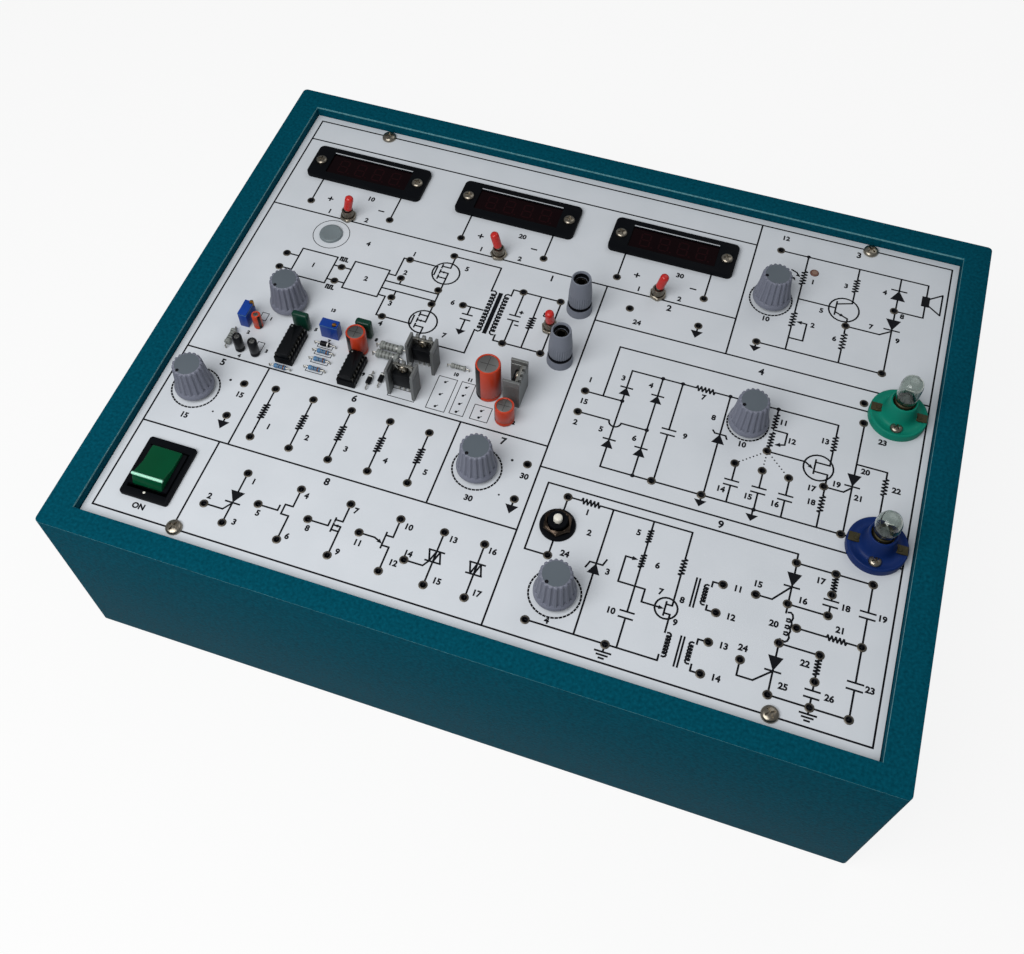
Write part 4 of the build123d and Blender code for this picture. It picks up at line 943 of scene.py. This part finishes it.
# %% Heat sinks and power transistors
sinks = [softened("heat_sinks", 0.15, satin_aluminium, 1)]
devices = []
for x, y, turn in ((133.7, 125.2, 0), (137.6, 142.7, 0), (187, 140.7, 270)):
    for step in range(9):
        for side in (-1, 1):
            fin = block(0.25, 0.55, 16, satin_aluminium, 0.6, x=side * 7.35, y=-3.4 + 0.85 * step)
            sinks.append(laid(fin, on_panel(x, y), turn))
    body = block(10, 3.9, 9.2, black_epoxy, 5, 0.35, y=0.45)
    dimple = laid(turned([(0.9, 0), (0.9, 1)], black_epoxy, 20), (0, 0, 0), 90, 90)
    dimple = laid(dimple, (2.6 * mm, -1.1 * mm, 12 * mm))
    body = cut(body, dimple)
    tab = block(10, 1.3, 14, tinned_copper, 5, 0.12, y=2.05)
    tab = cut(tab, laid(turned([(1.8, -4), (1.8, 4)], tinned_copper, 24), (0, 2 * mm, 16.6 * mm), 90, 90))
    head = laid(screw(4.6, 1.2, worn_nickel), (0, 1.4 * mm, 16.6 * mm), 90, -90)
    legs = [block(0.7, 0.5, 5.2, tinned_copper, 0, x=dx, y=0.4) for dx in (-2.54, 0, 2.54)]
    devices.append(laid(joined([body, tab, head, *legs]), on_panel(x, y), turn))
piece("finned_sinks", sinks, "trainer", "sink_metal", "heat_sinks")
piece("power_devices", devices, "trainer", "transistor_body", "power_transistors")

# %% [markdown]
# A grey plug closes the hole of a control that this model leaves out. The light sensor is a small
# brown disc, and five pale bars stand for the track that winds over it.

# %% Plug and sensor
cover = [(5.6, 0), (6.4, 0), (6.4, 0.6), (6.1, 1.2), (5.5, 1.55), (4.6, 1.5), (3.8, 1.25), (0.5, 1.15)]
plug = joined([turned(cover, plug_grey, 48), turned([(4.7, -5), (4.7, 0.4)], plug_grey, 32)])
plug = laid(plug, on_panel(57.9, 209.7))
piece("control_plug", [plug], "trainer", "plug_plastic", "blanking_plug")
cell = turned([(2.3, -4.6), (2.3, 0.1), (2.1, 0.4), (1.8, 0.5)], sensor_brown, 32)
tracks = []
for step, wide in zip(range(-2, 3), (1.6, 2.6, 2.6, 2.6, 1.6)):
    tracks.append(block(wide, 0.16, 0.04, sensor_track, 0.49, y=0.55 * step))
sensor = laid(joined([cell, *tracks]), on_panel(313.5, 265.2))
piece("light_cell", [sensor], "trainer", "plug_plastic", "light_sensor")

# %% [markdown]
# Below, a plain cover closes the case. It has pan head screws and four moulded rubber feet. The
# mains inlet is in the back wall, and its cord is not part of the object.

# %% Underside and back
sheet = softened("bottom_cover", 0.25, bare_steel, 1)
piece("cover_sheet", [sheet], "trainer", "cover_paint", "bottom_cover")
foot = turned([(8.2, 0), (8.5, 0.15), (9, 5)], rubber, 40)
foot = cut(foot, turned([(3.4, -0.5), (3.2, 1.2)], rubber, 24))
from_edge = 30 * mm
feet = []
for y in (case_low.y + from_edge, case_high.y - from_edge):
    for x in (case_low.x + from_edge, case_high.x - from_edge):
        feet.append(laid(twin(foot), (x, y, 0)))
bpy.data.objects.remove(foot)
piece("moulded_feet", feet, "trainer", "rubber", "rubber_feet")
inlet = softened("mains_inlet", 0.3, black_abs)
piece("inlet_body", [inlet], "trainer", "inlet_plastic", "mains_inlet")

# %% [markdown]
# The circuit is screen printed on the panel. Ink has no real height, so each line is a flat curve
# that becomes a mesh a few hundredths of a millimetre above the laminate. The lines are collected
# as runs of points in millimetres. Most of them only go across and up, so a run is written as
# its first place and then the next x and the next y by turns. The words of the real print are left
# off: plain numbers stand at the parts and at the sections.

# %% Printing helpers
ink_lines, fine_lines, ink_areas, ink_numbers = [], [], [], []


def line(*points, fine=False):
    """Print a line through these points."""
    (fine_lines if fine else ink_lines).append(list(points))


def by_turns(runs, first):
    """Print runs of (x, y, stop, stop ...). The first stop is an x (0) or a y (1), then by turns."""
    for x, y, *stops in runs:
        points = [(x, y)]
        for turn, stop in enumerate(stops, first):
            x, y = (x, stop) if turn % 2 else (stop, y)
            points.append((x, y))
        line(*points)


def across(*runs):
    """Print runs that start across."""
    by_turns(runs, 0)


def up(*runs):
    """Print runs that start up or down."""
    by_turns(runs, 1)


def each(symbol, *places):
    """Print a symbol with each of these sets of values."""
    for values in places:
        symbol(*values)


def outline(x0, y0, x1, y1):
    """Print a fine rectangle between two corners."""
    line((x0, y0), (x1, y0), (x1, y1), (x0, y1), (x0, y0), fine=True)


def area(*points):
    """Print a filled shape with these corners."""
    ink_areas.append(list(points))


def number(text, x, y, size=3.4):
    """Print a plain number, centred here."""
    ink_numbers.append((str(text), x, y, size))


def numbers(first, *places, size=3.4):
    """Print numbers that count up from the first one, at these places."""
    for text, (x, y) in enumerate(places, first):
        number(text, x, y, size)


def told(circuit):
    """Say how much ink there is so far."""
    print(circuit, "-", len(ink_lines), "runs,", len(ink_areas), "areas,", len(ink_numbers), "numbers")

# %% [markdown]
# The first function only says how much ink there is so far. The others draw the usual symbols:
# rings and dots, resistors, capacitors, windings, diodes, arrows and earths.

# %% Symbols
def circle(x, y, radius, start=0, end=360, fine=False):
    """Print a ring, or part of one between two angles in degrees."""
    steps = max(6, round(abs(end - start) / 15))
    angles = [radians(start + (end - start) * step / steps) for step in range(steps + 1)]
    line(*[(x + radius * cos(a), y + radius * sin(a)) for a in angles], fine=fine)


def dot(x, y, radius=1.1):
    """Print a filled dot."""
    angles = [pi * step / 6 for step in range(12)]
    area(*[(x + radius * cos(a), y + radius * sin(a)) for a in angles])


def dashes(x, y, radius, count=36):
    """Print the dashed ring round a control."""
    for step in range(count):
        circle(x, y, radius, 360 / count * step, 360 / count * (step + 0.55))


def dotted(start, end, step=1.9):
    """Print a dotted line."""
    length = hypot(end[0] - start[0], end[1] - start[1])
    for at in range(1, int(length / step)):
        part = at * step / length
        dot(start[0] + (end[0] - start[0]) * part, start[1] + (end[1] - start[1]) * part, 0.4)


def resistor(x, high, low, teeth=5, width=1.5):
    """Print an upright zigzag."""
    step = (high - low) / (2 * teeth)
    bends = [(x + (width, -width)[i % 2], high - step * (i + 0.5)) for i in range(2 * teeth)]
    line((x, high), *bends, (x, low))


def resistor_across(left, right, y, teeth=5, width=1.4):
    """Print a zigzag that lies on its side."""
    step = (right - left) / (2 * teeth)
    bends = [(left + step * (i + 0.5), y + (width, -width)[i % 2]) for i in range(2 * teeth)]
    line((left, y), *bends, (right, y))


def plates(x, high, low, half=3.2):
    """Print the two plates of a capacitor."""
    line((x - half, high), (x + half, high))
    line((x - half, low), (x + half, low))


def coil(x, high, low, turns, bulge):
    """Print the turns of a winding, one loop below the other. A negative bulge turns them left."""
    step = (high - low) / turns
    for turn in range(turns):
        middle = high - step * (turn + 0.5)
        angles = [radians(120 - 40 * i) for i in range(7)]
        line(*[(x + bulge * (0.45 + 0.6 * cos(a)), middle + 0.75 * step * sin(a)) for a in angles])


def diode(x, bar, base, half=3):
    """Print an upright diode: its bar, and a triangle from its base to the bar."""
    line((x - half, bar), (x + half, bar))
    area((x, bar), (x - half, base), (x + half, base))


def arrow(x, y, angle, size=2.4):
    """Print an arrow head whose tip is here and that points along the angle."""
    corners = [(0, 0), (-size, 0.4 * size), (-size, -0.4 * size)]
    turn = Matrix.Rotation(radians(angle), 2)
    area(*[(x + (turn @ Vector(c)).x, y + (turn @ Vector(c)).y) for c in corners])


def earth_arrow(x, y, drop=3.4, half=3.2, height=4.6):
    """Print the filled triangle of an earth below a socket."""
    line((x, y), (x, y - drop))
    area((x - half, y - drop), (x + half, y - drop), (x, y - drop - height))


def earth_bars(x, y, drop=3.6):
    """Print the three bars of an earth below a socket."""
    line((x, y), (x, y - drop))
    for step, half in enumerate((3.6, 2.4, 1.1)):
        line((x - half, y - drop - 1.5 * step), (x + half, y - drop - 1.5 * step))

# %% [markdown]
# A border and ruled lines divide the panel into its circuits.

# %% Border and sections
left, right, front, back = 18, 382.7, 19, 290.2
split = 211.4
across(
    (left, front, right, back, left, front), (left, 275.1, 280.5), (left, 221.9, 280.5),
    (split, 198.1, right), (left, 116.7, split), (split, 104.9, right), (left, 68.9, split),
)
up(
    (280.5, back, 198.1), (split, 221.9, front), (64, 116.7, 68.9), (166.7, 116.7, 68.9),
    (59.6, 68.9, front),
)
numbers(
    1, (182, 217.5), (246, 217.5), (334, 284.8), (300, 192.5), (40, 112.5), (112, 112.8),
    (190, 112.5), (118, 64.5), (300, 101.2), size=4.4,
)
told("border and sections")

# %% [markdown]
# The three meters have a lead down to each of their two sockets, and signs for the poles. The
# toggle below each meter picks one of two ranges, numbered 1 and 2.

# %% Meters
for tens, x in enumerate(meters, 1):
    up((x - 23.6, 246.5, 229.4), (x + 23.6, 246.5, 229.4), (x - 13.8, 235.5, 232.7))
    across((x - 15.2, 234.1, x - 12.4), (x + 15.2, 234.2, x + 18.2))
    numbers(1, (x - 10.5, 225.2), (x + 11.5, 225.2))
    number(10 * tens, x + 8, 240.8)
told("meters")

# %% [markdown]
# Pulse width controller and bridge: two blocks, two transistors in circles, a transformer with a
# tapped winding, and the load.

# %% Pulse width controller
across(
    (40.5, 189.9, 47.5), (40.5, 180, 47.5), (47.5, 176.8, 68, 195.6, 47.5, 176.8),
    (78.1, 176.8, 98.1, 195.8, 78.1, 176.8), (68, 189.9, 78.1), (68, 180, 78.1),
    (98.1, 193.4, 102.2, 206.3, 121.4, 200.4), (98.1, 178.5, 102.2, 165.6, 121.4, 171.4),
    (98.1, 188.5, 128.4), (98.1, 183.5, 128.4), (143.2, 185.9, 154.2), (172.9, 190.6, 174.7),
    (172.9, 181.8, 174.7),
)
up(
    (106.3, 192.5, 188.5), (106.3, 183.5, 178.7), (128.4, 203.6, 168.9),
    (128.4, 207.4, 216, 154.2, 199.4), (128.4, 165.4, 156.7, 154.2, 172.6), (147.4, 185.9, 180.5),
    (165.2, 199.4, 203.9, 191.6, 168.9, 165.4, 172.6), (171.2, 203.9, 187.6), (171.2, 184.4, 168.9),
    (180.6, 203.9, 189.6), (180.6, 181.6, 168.9), (173.8, 191.5, 189.7),
)
each(plates, (147.4, 180.5, 177, 2.7), (171.2, 187.6, 184.4, 2.9))
earth_arrow(147.4, 177, 6.8, 2.8, 3.4)
each(coil, (154.6, 199.4, 172.6, 12, 2.6), (164.8, 199.4, 172.6, 12, -2.6))
resistor(180.6, 189.6, 181.6, 5, 1.6)
circle(58, 209.8, 10.1, fine=True)
for y in (194, 174):
    line(*[(69.8 + 1.1 * (step // 2), y + (2.4 if step % 4 in (1, 2) else 0)) for step in range(9)])
for middle in (203.2, 168.8):
    circle(127.2, middle, 7.4)
    for height in (4.2, 0.4, -3.4):
        up((123.8, middle + height + 1.3, middle + height - 1.3))
        across((123.8, middle + height, 128.4))
    arrow(124.2, middle + 0.4, 180, 2)
up(*[(x, 199.4, 171.9) for x in (158.9, 159.6, 160.3)])
numbers(1, (57.5, 186.3), (88, 186.3))
numbers(
    1, (106.5, 210.5), (106.5, 196.8), (106.5, 174.6), (106.5, 160.8), (137, 209.5), (137.5, 185.6),
    (140.5, 163.8), (186, 193),
)
number(4, 80, 209.5)
told("pulse width controller")

# %% [markdown]
# Round the soldered parts the board shows their printed outlines, pin marks and numbers.

# %% Outlines of the soldered parts
each(
    outline, (147.2, 119.3, 156.9, 139.5), (159.4, 119.8, 166.5, 139.6), (170, 120, 179, 128.8),
    (126.6, 120.2, 140.6, 125.4), (45.6, 143.6, 49.2, 148.4), (51.6, 123.8, 55.2, 130.2),
)
for x, y, wide in ((86.2, 133.7, 9), (86.5, 128.5, 9), (86.2, 122.6, 9), (85.4, 138.4, 8)):
    outline(x - wide / 2, y - 1.5, x + wide / 2, y + 1.5)
for x, y in (
    (151.4, 136.6), (151.4, 128.8), (151.5, 121.4), (162.5, 136.7), (162.5, 131.6), (162.5, 126.4),
    (162.5, 121.5), (174.2, 125.8), (174.2, 121.8),
):
    dot(x, y, 0.7)
    line((x, y), (x + 1.2, y + 1), fine=True)
numbers(
    1, (51.5, 145.6), (44, 134), (58, 125.8), (46, 118.8), (76.5, 146.5), (94.5, 146.5),
    (85.8, 141.6), (108.6, 150.2), (110.6, 128), (154.9, 142.6), (162.8, 141.6), (190.8, 124.2),
    (80, 161), size=2.2,
)
told("outlines of the soldered parts")

# %% [markdown]
# The fixed supply has two sockets. The two variable supplies have a control in a dashed ring each.

# %% Supplies
earth_arrow(263.2, 211)
each(dashes, (34, 94.2, 12, 40), (183, 94.2, 11.9, 40))
for x, volts in ((56.1, 15), (205.2, 30)):
    earth_arrow(x, 83.8)
    each(dot, (x - 7.6, 103.8, 0.7), (x - 7.6, 83.8, 0.5))
    number(volts, x + 0.6, 97)
each(number, (24, 232.5, 203.2), (15, 36, 77.5), (30, 184.5, 77.5))
told("supplies")

# %% [markdown]
# The light alarm: a sensor, a transistor, a thyristor and a loudspeaker, with a control.

# %% Light alarm
across(
    (293.6, 275.3, 372.2, 267.4), (312, 229.8, 315.9, 218.4, 308.6), (308.6, 245.2, 328.3),
    (293.6, 210.4, 357.3),
)
up(
    (308.6, 275.3, 265), (308.6, 255, 235.6), (308.6, 225.8, 210.4), (328.3, 249.7, 240.7),
    (336, 267.8, 275.3), (335.5, 219.1, 210.4), (358, 275.3, 210.4), (372.1, 260.4, 252.6, 357.4),
)
each(
    line, ((301.6, 263.8), (304.6, 262.6), (306.2, 260.6)), ((301, 260), (303.6, 258.4)),
    ((328.3, 248), (336, 250.7), (336, 258.4)), ((328.3, 242.6), (335.2, 239.8), (335.2, 229.8)),
    ((335.1, 234.8), (352.4, 234.8), (357.8, 238.6)),
    ((374.1, 266.5), (380.1, 270.9), (380.1, 256.9), (374.1, 261.3)),
)
dashes(295, 240.4, 11, 38)
dot(308.6, 275.4)
each(
    resistor, (308.6, 265, 255, 5, 1.4), (308.6, 235.6, 225.8, 5, 1.4), (336, 267.8, 258.4, 5, 1.4),
    (335.5, 229.8, 219.1, 5, 1.4),
)
each(
    arrow, (306.8, 260.2, -25, 2.2), (304.8, 256.8, -55, 2.2), (310.4, 229.8, 180, 3),
    (333.6, 240.5, -22, 2.6),
)
circle(332.5, 245.1, 7.8)
each(diode, (358, 266.9, 260.2, 3.9), (358, 239.5, 246.6, 3.9))
area((370, 260.4), (374.1, 260.4), (374.1, 267.4), (370, 267.4))
earth_arrow(293.6, 210.4, 2.8, 3, 3.4)
numbers(
    1, (313.8, 258.6), (319, 229.8), (331, 261.5), (351, 263.5), (321.5, 241), (331, 224.8),
    (347.5, 238.4), (361.8, 250), (361.8, 233.4), (295, 226.6),
)
number(12, 294.5, 284.6)
told("light alarm")

# %% [markdown]
# The lamp flasher: a bridge of four diodes, a Zener diode, a unijunction transistor in a circle, a
# choice of three capacitors, and a thyristor that feeds the two lamps.

# %% Lamp flasher
across(
    (219.3, 153.5, 238.4), (219.3, 140.6, 235.4), (241.4, 140.6, 254.3), (238.4, 172.9, 271.3),
    (280.9, 172.9, 342.2, 166.1), (335.4, 148.6, 342.2, 156.9), (335.4, 143.3, 342, 131.4),
    (354.1, 153.5, 368.7, 149.8),
)
up(
    (228.6, 153.5, 185.4, 360), (238.4, 172.9, 113.8, 360), (254.3, 172.9, 113.8),
    (264.5, 172.9, 144.4), (264.5, 141.4, 113.8), (288.6, 172.9, 113.8), (312.7, 172.9, 169.9),
    (335.4, 150, 142), (342, 122, 113.8), (354.1, 177.9, 113.8), (368.7, 140.2, 122),
)
each(
    line, ((284.8, 151), (286, 149.6), (291.4, 149.6), (292.3, 147.8)),
    ((312.7, 160.3), (319.5, 160.3), (319.5, 153.4), (317.4, 152.8)),
    ((312.7, 149.8), (312.7, 147.3), (330.6, 147.3), (333.6, 145.4)),
    ((341.3, 136.4), (350.7, 136.4), (354.2, 140)),
)
dashes(300, 160, 10, 34)
each(circle, (238.4, 140.6, 3, 180, 360), (337.2, 145.8, 7.1))
resistor_across(271.3, 280.9, 172.9)
plates(264.5, 144.4, 141.4, 3.4)
area((288.6, 149.6), (285.4, 144.1), (291.8, 144.1))
each(earth_arrow, (288, 113.8, 2.8, 3, 3.6), (312.4, 113.8, 2.8, 3, 3.6))
each(
    resistor, (312.7, 169.9, 160.8, 5, 1.2), (312.7, 158.8, 149.8, 5, 1.2),
    (342.2, 166.1, 156.9, 5, 1.2), (342, 131.4, 122, 5, 1.2), (368.7, 149.8, 140.2, 5, 1.2),
)
each(arrow, (314.6, 152, 196, 3), (334.9, 144.4, -35, 2.6))
diode(354.1, 140.6, 147.4, 3.4)
for x in (238.4, 254.3):
    each(diode, (x, 162, 157.3), (x, 129.9, 125))
for x in (298.9, 312.2, 324.8):
    dotted((312.4, 147.3), (x, 135.8))
for x in (299.6, 312.7, 325.4):
    up((x, 135.8, 126.1), (x, 123.2, 113.8))
    plates(x, 126.1, 123.2, 3.3)
each(
    dot, (238.4, 153.5), (254.3, 173), (264.5, 173), (254.3, 140.7), (254.3, 113.8), (288.6, 173),
    (312.7, 173), (312.7, 113.8),
)
numbers(
    1, (220, 160.8), (220, 134.2), (235.4, 167), (249.6, 167), (233, 134.2), (249.8, 134.2),
    (276, 168.2), (283.5, 158), (272.8, 143), (299.8, 147.2), (316.6, 165.8), (322.3, 156.4),
    (337.6, 161.6), (295.6, 119.8), (308.6, 119.8), (321.3, 119.8), (336, 133.6), (337.2, 126.2),
    (346.8, 139.4), (358.8, 150.4), (358, 135), (374.2, 144.6), (364, 169.5),
)
number(15, 220.4, 147.3)
told("lamp flasher")

# %% [markdown]
# The row of resistors, and the symbols of six semiconductors with their sockets.

# %% Resistors and semiconductors
across(
    (92.1, 43.2, 102.2, 46), (117.5, 43.2, 127.8, 46.4), (129.9, 44.4, 133.6, 29),
    (129.9, 41.8, 133.6), (155.1, 41.7, 158.7, 29),
)
up(
    (80.4, 57, 29), (108.3, 57, 47.2, 104.4, 42, 108.3, 29), (133.6, 57, 47.2, 129.9),
    (158.7, 57, 47.1, 155.1), (155.1, 48.6, 40.2),
)
each(
    line, ((67.8, 35.7), (77.4, 35.7), (80.4, 40)), ((142.8, 44.4), (150.6, 44.4), (153, 43.4)),
    ((167.5, 38), (176.6, 38), (178.6, 41.1)),
)
diode(80.4, 40.2, 46.5, 3.6)
each(arrow, (130.2, 44.4, 180, 2.2), (155, 42.4, -27, 2.6))
for step in range(5):
    x = 72.4 + 20.5 * step
    up((x, 105.8, 96.4), (x, 87.3, 76.1))
    resistor(x, 96.4, 87.3, 6, 1.5)
    number(step + 1, x + 6, 84.2)
up(*[(129.9, y + 1, y - 1) for y in (47.2, 44.4, 41.8)])
for x in (180.3, 200):
    up((x, 57, 29))
    across((x - 3.7, 46.8, x + 3.7), (x - 3.7, 41.1, x + 3.7))
    line((x - 3.5, 46.8), (x - 1.7, 41.1), (x, 46.8))
    line((x, 41.1), (x + 1.7, 46.8), (x + 3.5, 41.1))
numbers(
    1, (85, 53.6), (68.6, 40), (85.6, 31), (112, 54.4), (94, 38.8), (112, 32), (137.2, 54.4),
    (119.2, 38.8), (137.2, 32), (163.6, 54.2), (144.2, 39.2), (163.4, 34.8), (185.4, 54.6),
    (168.2, 41.4), (185.4, 32.6), (204.4, 54.6), (204.4, 32.6),
)
told("resistors and semiconductors")

# %% [markdown]
# The series inverter: a Zener diode and a control on the left, a unijunction oscillator with two
# pulse transformers in the middle, and two thyristors with their load on the right.

# %% Series inverter
across(
    (228.8, 93.1, 235.4), (244.6, 93.1, 288.7, 78.9), (228.8, 27.8, 288.7, 30.6),
    (266.6, 71.8, 262.7, 58.6, 275.2, 52.2, 283.6), (285.9, 54.6, 288.7, 70.2),
    (285.9, 50.2, 288.7, 41.4), (336.8, 71.7, 354.7), (336.8, 92.9, 371.3), (342.7, 61.6, 356),
    (364.8, 61.6, 371.3), (336.8, 52.2, 354.7), (336.8, 27.7, 371.3),
)
up(
    (336.8, 92.9, 97.6, 217.8, 60.9, 228.8), (229, 92.9, 60.9), (251, 93.1, 27.8),
    (270.5, 93.1, 88.5), (270.5, 81.4, 75.3), (270.5, 68.2, 45.5), (270.5, 42.4, 27.8),
    (285.9, 55.8, 49), (337.1, 92.9, 67.3), (355, 92.9, 91), (355, 83.4, 79.4), (355, 76.5, 71.7),
    (336.9, 54.4, 27.7), (371.4, 92.9, 78.8), (371.4, 75.8, 44.7), (371.4, 41.4, 27.7),
    (354.7, 52.2, 50.4), (354.7, 42.6, 35.5), (354.7, 32.2, 27.7),
)
each(
    line, ((255.1, 67.2), (254, 64), (248, 64), (246.8, 60.8)),
    ((322.5, 71.8), (329.9, 71.8), (337.1, 80.5)),
    ((322.5, 39.4), (322.5, 32.1), (329.5, 32.1), (336.9, 38.8)),
)
dashes(237.5, 43.9, 11.9, 40)
each(resistor_across, (235.4, 244.6, 93.1), (356, 364.8, 61.6, 5, 1.2))
area((251, 64), (248, 58.5), (254, 58.5))
each(earth_bars, (265.4, 27.6), (354.7, 27.7, 3))
each(
    resistor, (270.5, 88.5, 81.4, 5, 1.1), (270.5, 75.3, 68.2, 5, 1.1), (288.7, 78.9, 70.2, 5, 1.2),
    (355, 91, 83.4, 5, 1.2), (354.7, 50.4, 42.6, 5, 1.2),
)
each(
    plates, (270.5, 45.5, 42.4, 3.2), (355, 79.4, 76.5, 3.2), (371.4, 78.8, 75.8, 3.4),
    (371.4, 44.7, 41.4, 3.4), (354.7, 35.5, 32.2, 3.2),
)
each(arrow, (268.6, 71.8, 0, 2.8), (285.6, 52.2, 0, 2.6))
circle(286.4, 52.6, 5.1)
each(coil, (289.6, 41.4, 30.6, 7, 2), (337.6, 67.3, 54.4, 4, 2.8))
each(diode, (337.1, 80.5, 87.5, 3.4), (336.9, 38.8, 45.8, 3.4))
for low, high in ((56.9, 71.4), (27.5, 42)):
    up((296, low, high), (297.5, low, high))
for high, low, top, bottom in ((69.2, 59.8, 71.8, 57.5), (40.4, 30.8, 42.9, 27.7)):
    coil(302.2, high, low, 6, -2)
    up((303.2, high, top, 307.7), (303.2, low, bottom, 307.7))
numbers(
    1, (239.8, 87.8), (243.6, 77.8), (257, 61.4), (238, 30.2), (265.2, 85.2), (277.6, 71.6),
    (282.2, 59.6), (292.2, 58.6), (291.8, 47.2), (263.4, 43.8), (314.6, 71.8), (314.4, 57.4),
    (314.4, 43.2), (314.4, 27.8), (322.5, 77), (343, 75.2), (348.8, 87.4), (361.6, 77.6),
    (377.8, 77.6), (333, 60.4), (361.2, 66.4), (349.4, 46.4), (377.8, 43.2), (322.6, 45),
    (342.4, 33.2), (362, 34.2),
)
number(24, 236, 64)
told("series inverter")

# %% [markdown]
# Now the collected runs become meshes: a flattened tube along each stretch of line, filled
# shapes, and the numbers in Blender's own plain font. Each stretch reaches a little past its ends,
# so the corners close.

# %% Print the panel
ink_height = 0.02


def flat_mesh(shape, name):
    """Turn a curve or text object into a flat mesh that lies on the panel, and finish it."""
    pick(shape)
    bpy.ops.object.convert(target="MESH")
    printed = bpy.context.object
    printed.location.z += panel_face + ink_height * mm
    bpy.ops.object.transform_apply(location=True, rotation=True, scale=True)
    printed.name = name
    printed.data.name = name
    finished(printed, ink_and_painted_shade)
    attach(printed, "trainer")
    print(name, len(printed.data.polygons), "faces")


def new_curve(name, dimensions):
    """An empty curve, and the object that shows it."""
    curve = bpy.data.curves.new(name, "CURVE")
    curve.dimensions = dimensions
    shape = bpy.data.objects.new(name, curve)
    scene.collection.objects.link(shape)
    return curve, shape


def run_of(points, curve, closed):
    """Add a run of straight lines to a curve."""
    run = curve.splines.new("POLY")
    run.points.add(len(points) - 1)
    for corner, (x, y) in zip(run.points, points):
        corner.co = (case_low.x + x * mm, case_low.y + y * mm, 0, 1)
    run.use_cyclic_u = closed


overlap, squash = 0.65, 0.06
for name, lines, half_width in (("printed_lines", ink_lines, 0.45), ("fine_lines", fine_lines, 0.2)):
    trace, shape = new_curve(name, "3D")
    trace.bevel_depth = half_width * mm
    trace.bevel_resolution = 0
    for points in lines:
        for (x0, y0), (x1, y1) in zip(points, points[1:]):
            over = overlap * half_width / max(hypot(x1 - x0, y1 - y0), 0.01)
            dx, dy = (x1 - x0) * over, (y1 - y0) * over
            run_of([(x0 - dx, y0 - dy), (x1 + dx, y1 + dy)], trace, False)
    shape.scale.z = squash
    flat_mesh(shape, name)

fill, shape = new_curve("printed_areas", "2D")
fill.fill_mode = "BOTH"
fill.extrude = ink_height * mm
for points in ink_areas:
    run_of(points, fill, True)
flat_mesh(shape, "printed_areas")

font_scale, bolder = 1.22, 0.2 * mm
letters = []
for text, x, y, size in [*ink_numbers, ("ON", 39.3, 24.4, 3.3)]:
    bpy.ops.object.text_add(location=(case_low.x + x * mm, case_low.y + y * mm, 0))
    letter = bpy.context.object
    letter.data.body = text
    letter.data.size = size * font_scale * mm
    letter.data.align_x = "CENTER"
    letter.data.align_y = "CENTER"
    letter.data.extrude = ink_height * mm
    letter.data.offset = bolder
    letter.data.resolution_u = 3
    letters.append(letter)
pick(letters[0])
for letter in letters:
    letter.select_set(True)
bpy.ops.object.convert(target="MESH")
bpy.ops.object.join()
flat_mesh(bpy.context.object, "printed_numbers")

# %% [markdown]
# The floor is pale paper. The camera sees it, directly or through a reflection or glass, mostly as
# an even white glow, as the photograph's cut-out ground is. The rest of it is real paper, which
# takes a soft shadow and throws light back at the case.

# %% Floor
glow_share = 0.88
bpy.ops.mesh.primitive_plane_add(size=6, location=(0, 0, 0))
floor = bpy.context.object
floor.name = "studio_floor"
paper = bpy.data.materials.new("studio_paper")
paper.use_nodes = True
shader = paper.node_tree.nodes["Principled BSDF"]
shader.inputs["Base Color"].default_value = linear("e6e6e4")
shader.inputs["Roughness"].default_value = 0.9
rays = add_node(paper, "ShaderNodeLightPath").outputs
seen = rays["Is Camera Ray"]
for ray in ("Is Glossy Ray", "Is Transmission Ray"):
    seen = add_node(paper, "ShaderNodeMath", {0: seen, 1: rays[ray]}, operation="MAXIMUM").outputs[0]
share = add_node(paper, "ShaderNodeMath", {0: seen, 1: glow_share}, operation="MULTIPLY").outputs[0]
glow = add_node(paper, "ShaderNodeEmission", {"Color": (1, 1, 1, 1), "Strength": 1}).outputs[0]
mixed = add_node(paper, "ShaderNodeMixShader", {0: share, 1: shader.outputs["BSDF"], 2: glow})
output = paper.node_tree.nodes["Material Output"]
paper.node_tree.links.new(mixed.outputs["Shader"], output.inputs["Surface"])
finished(floor, paper)
print("the floor glows with", glow_share, "of what the camera sees")
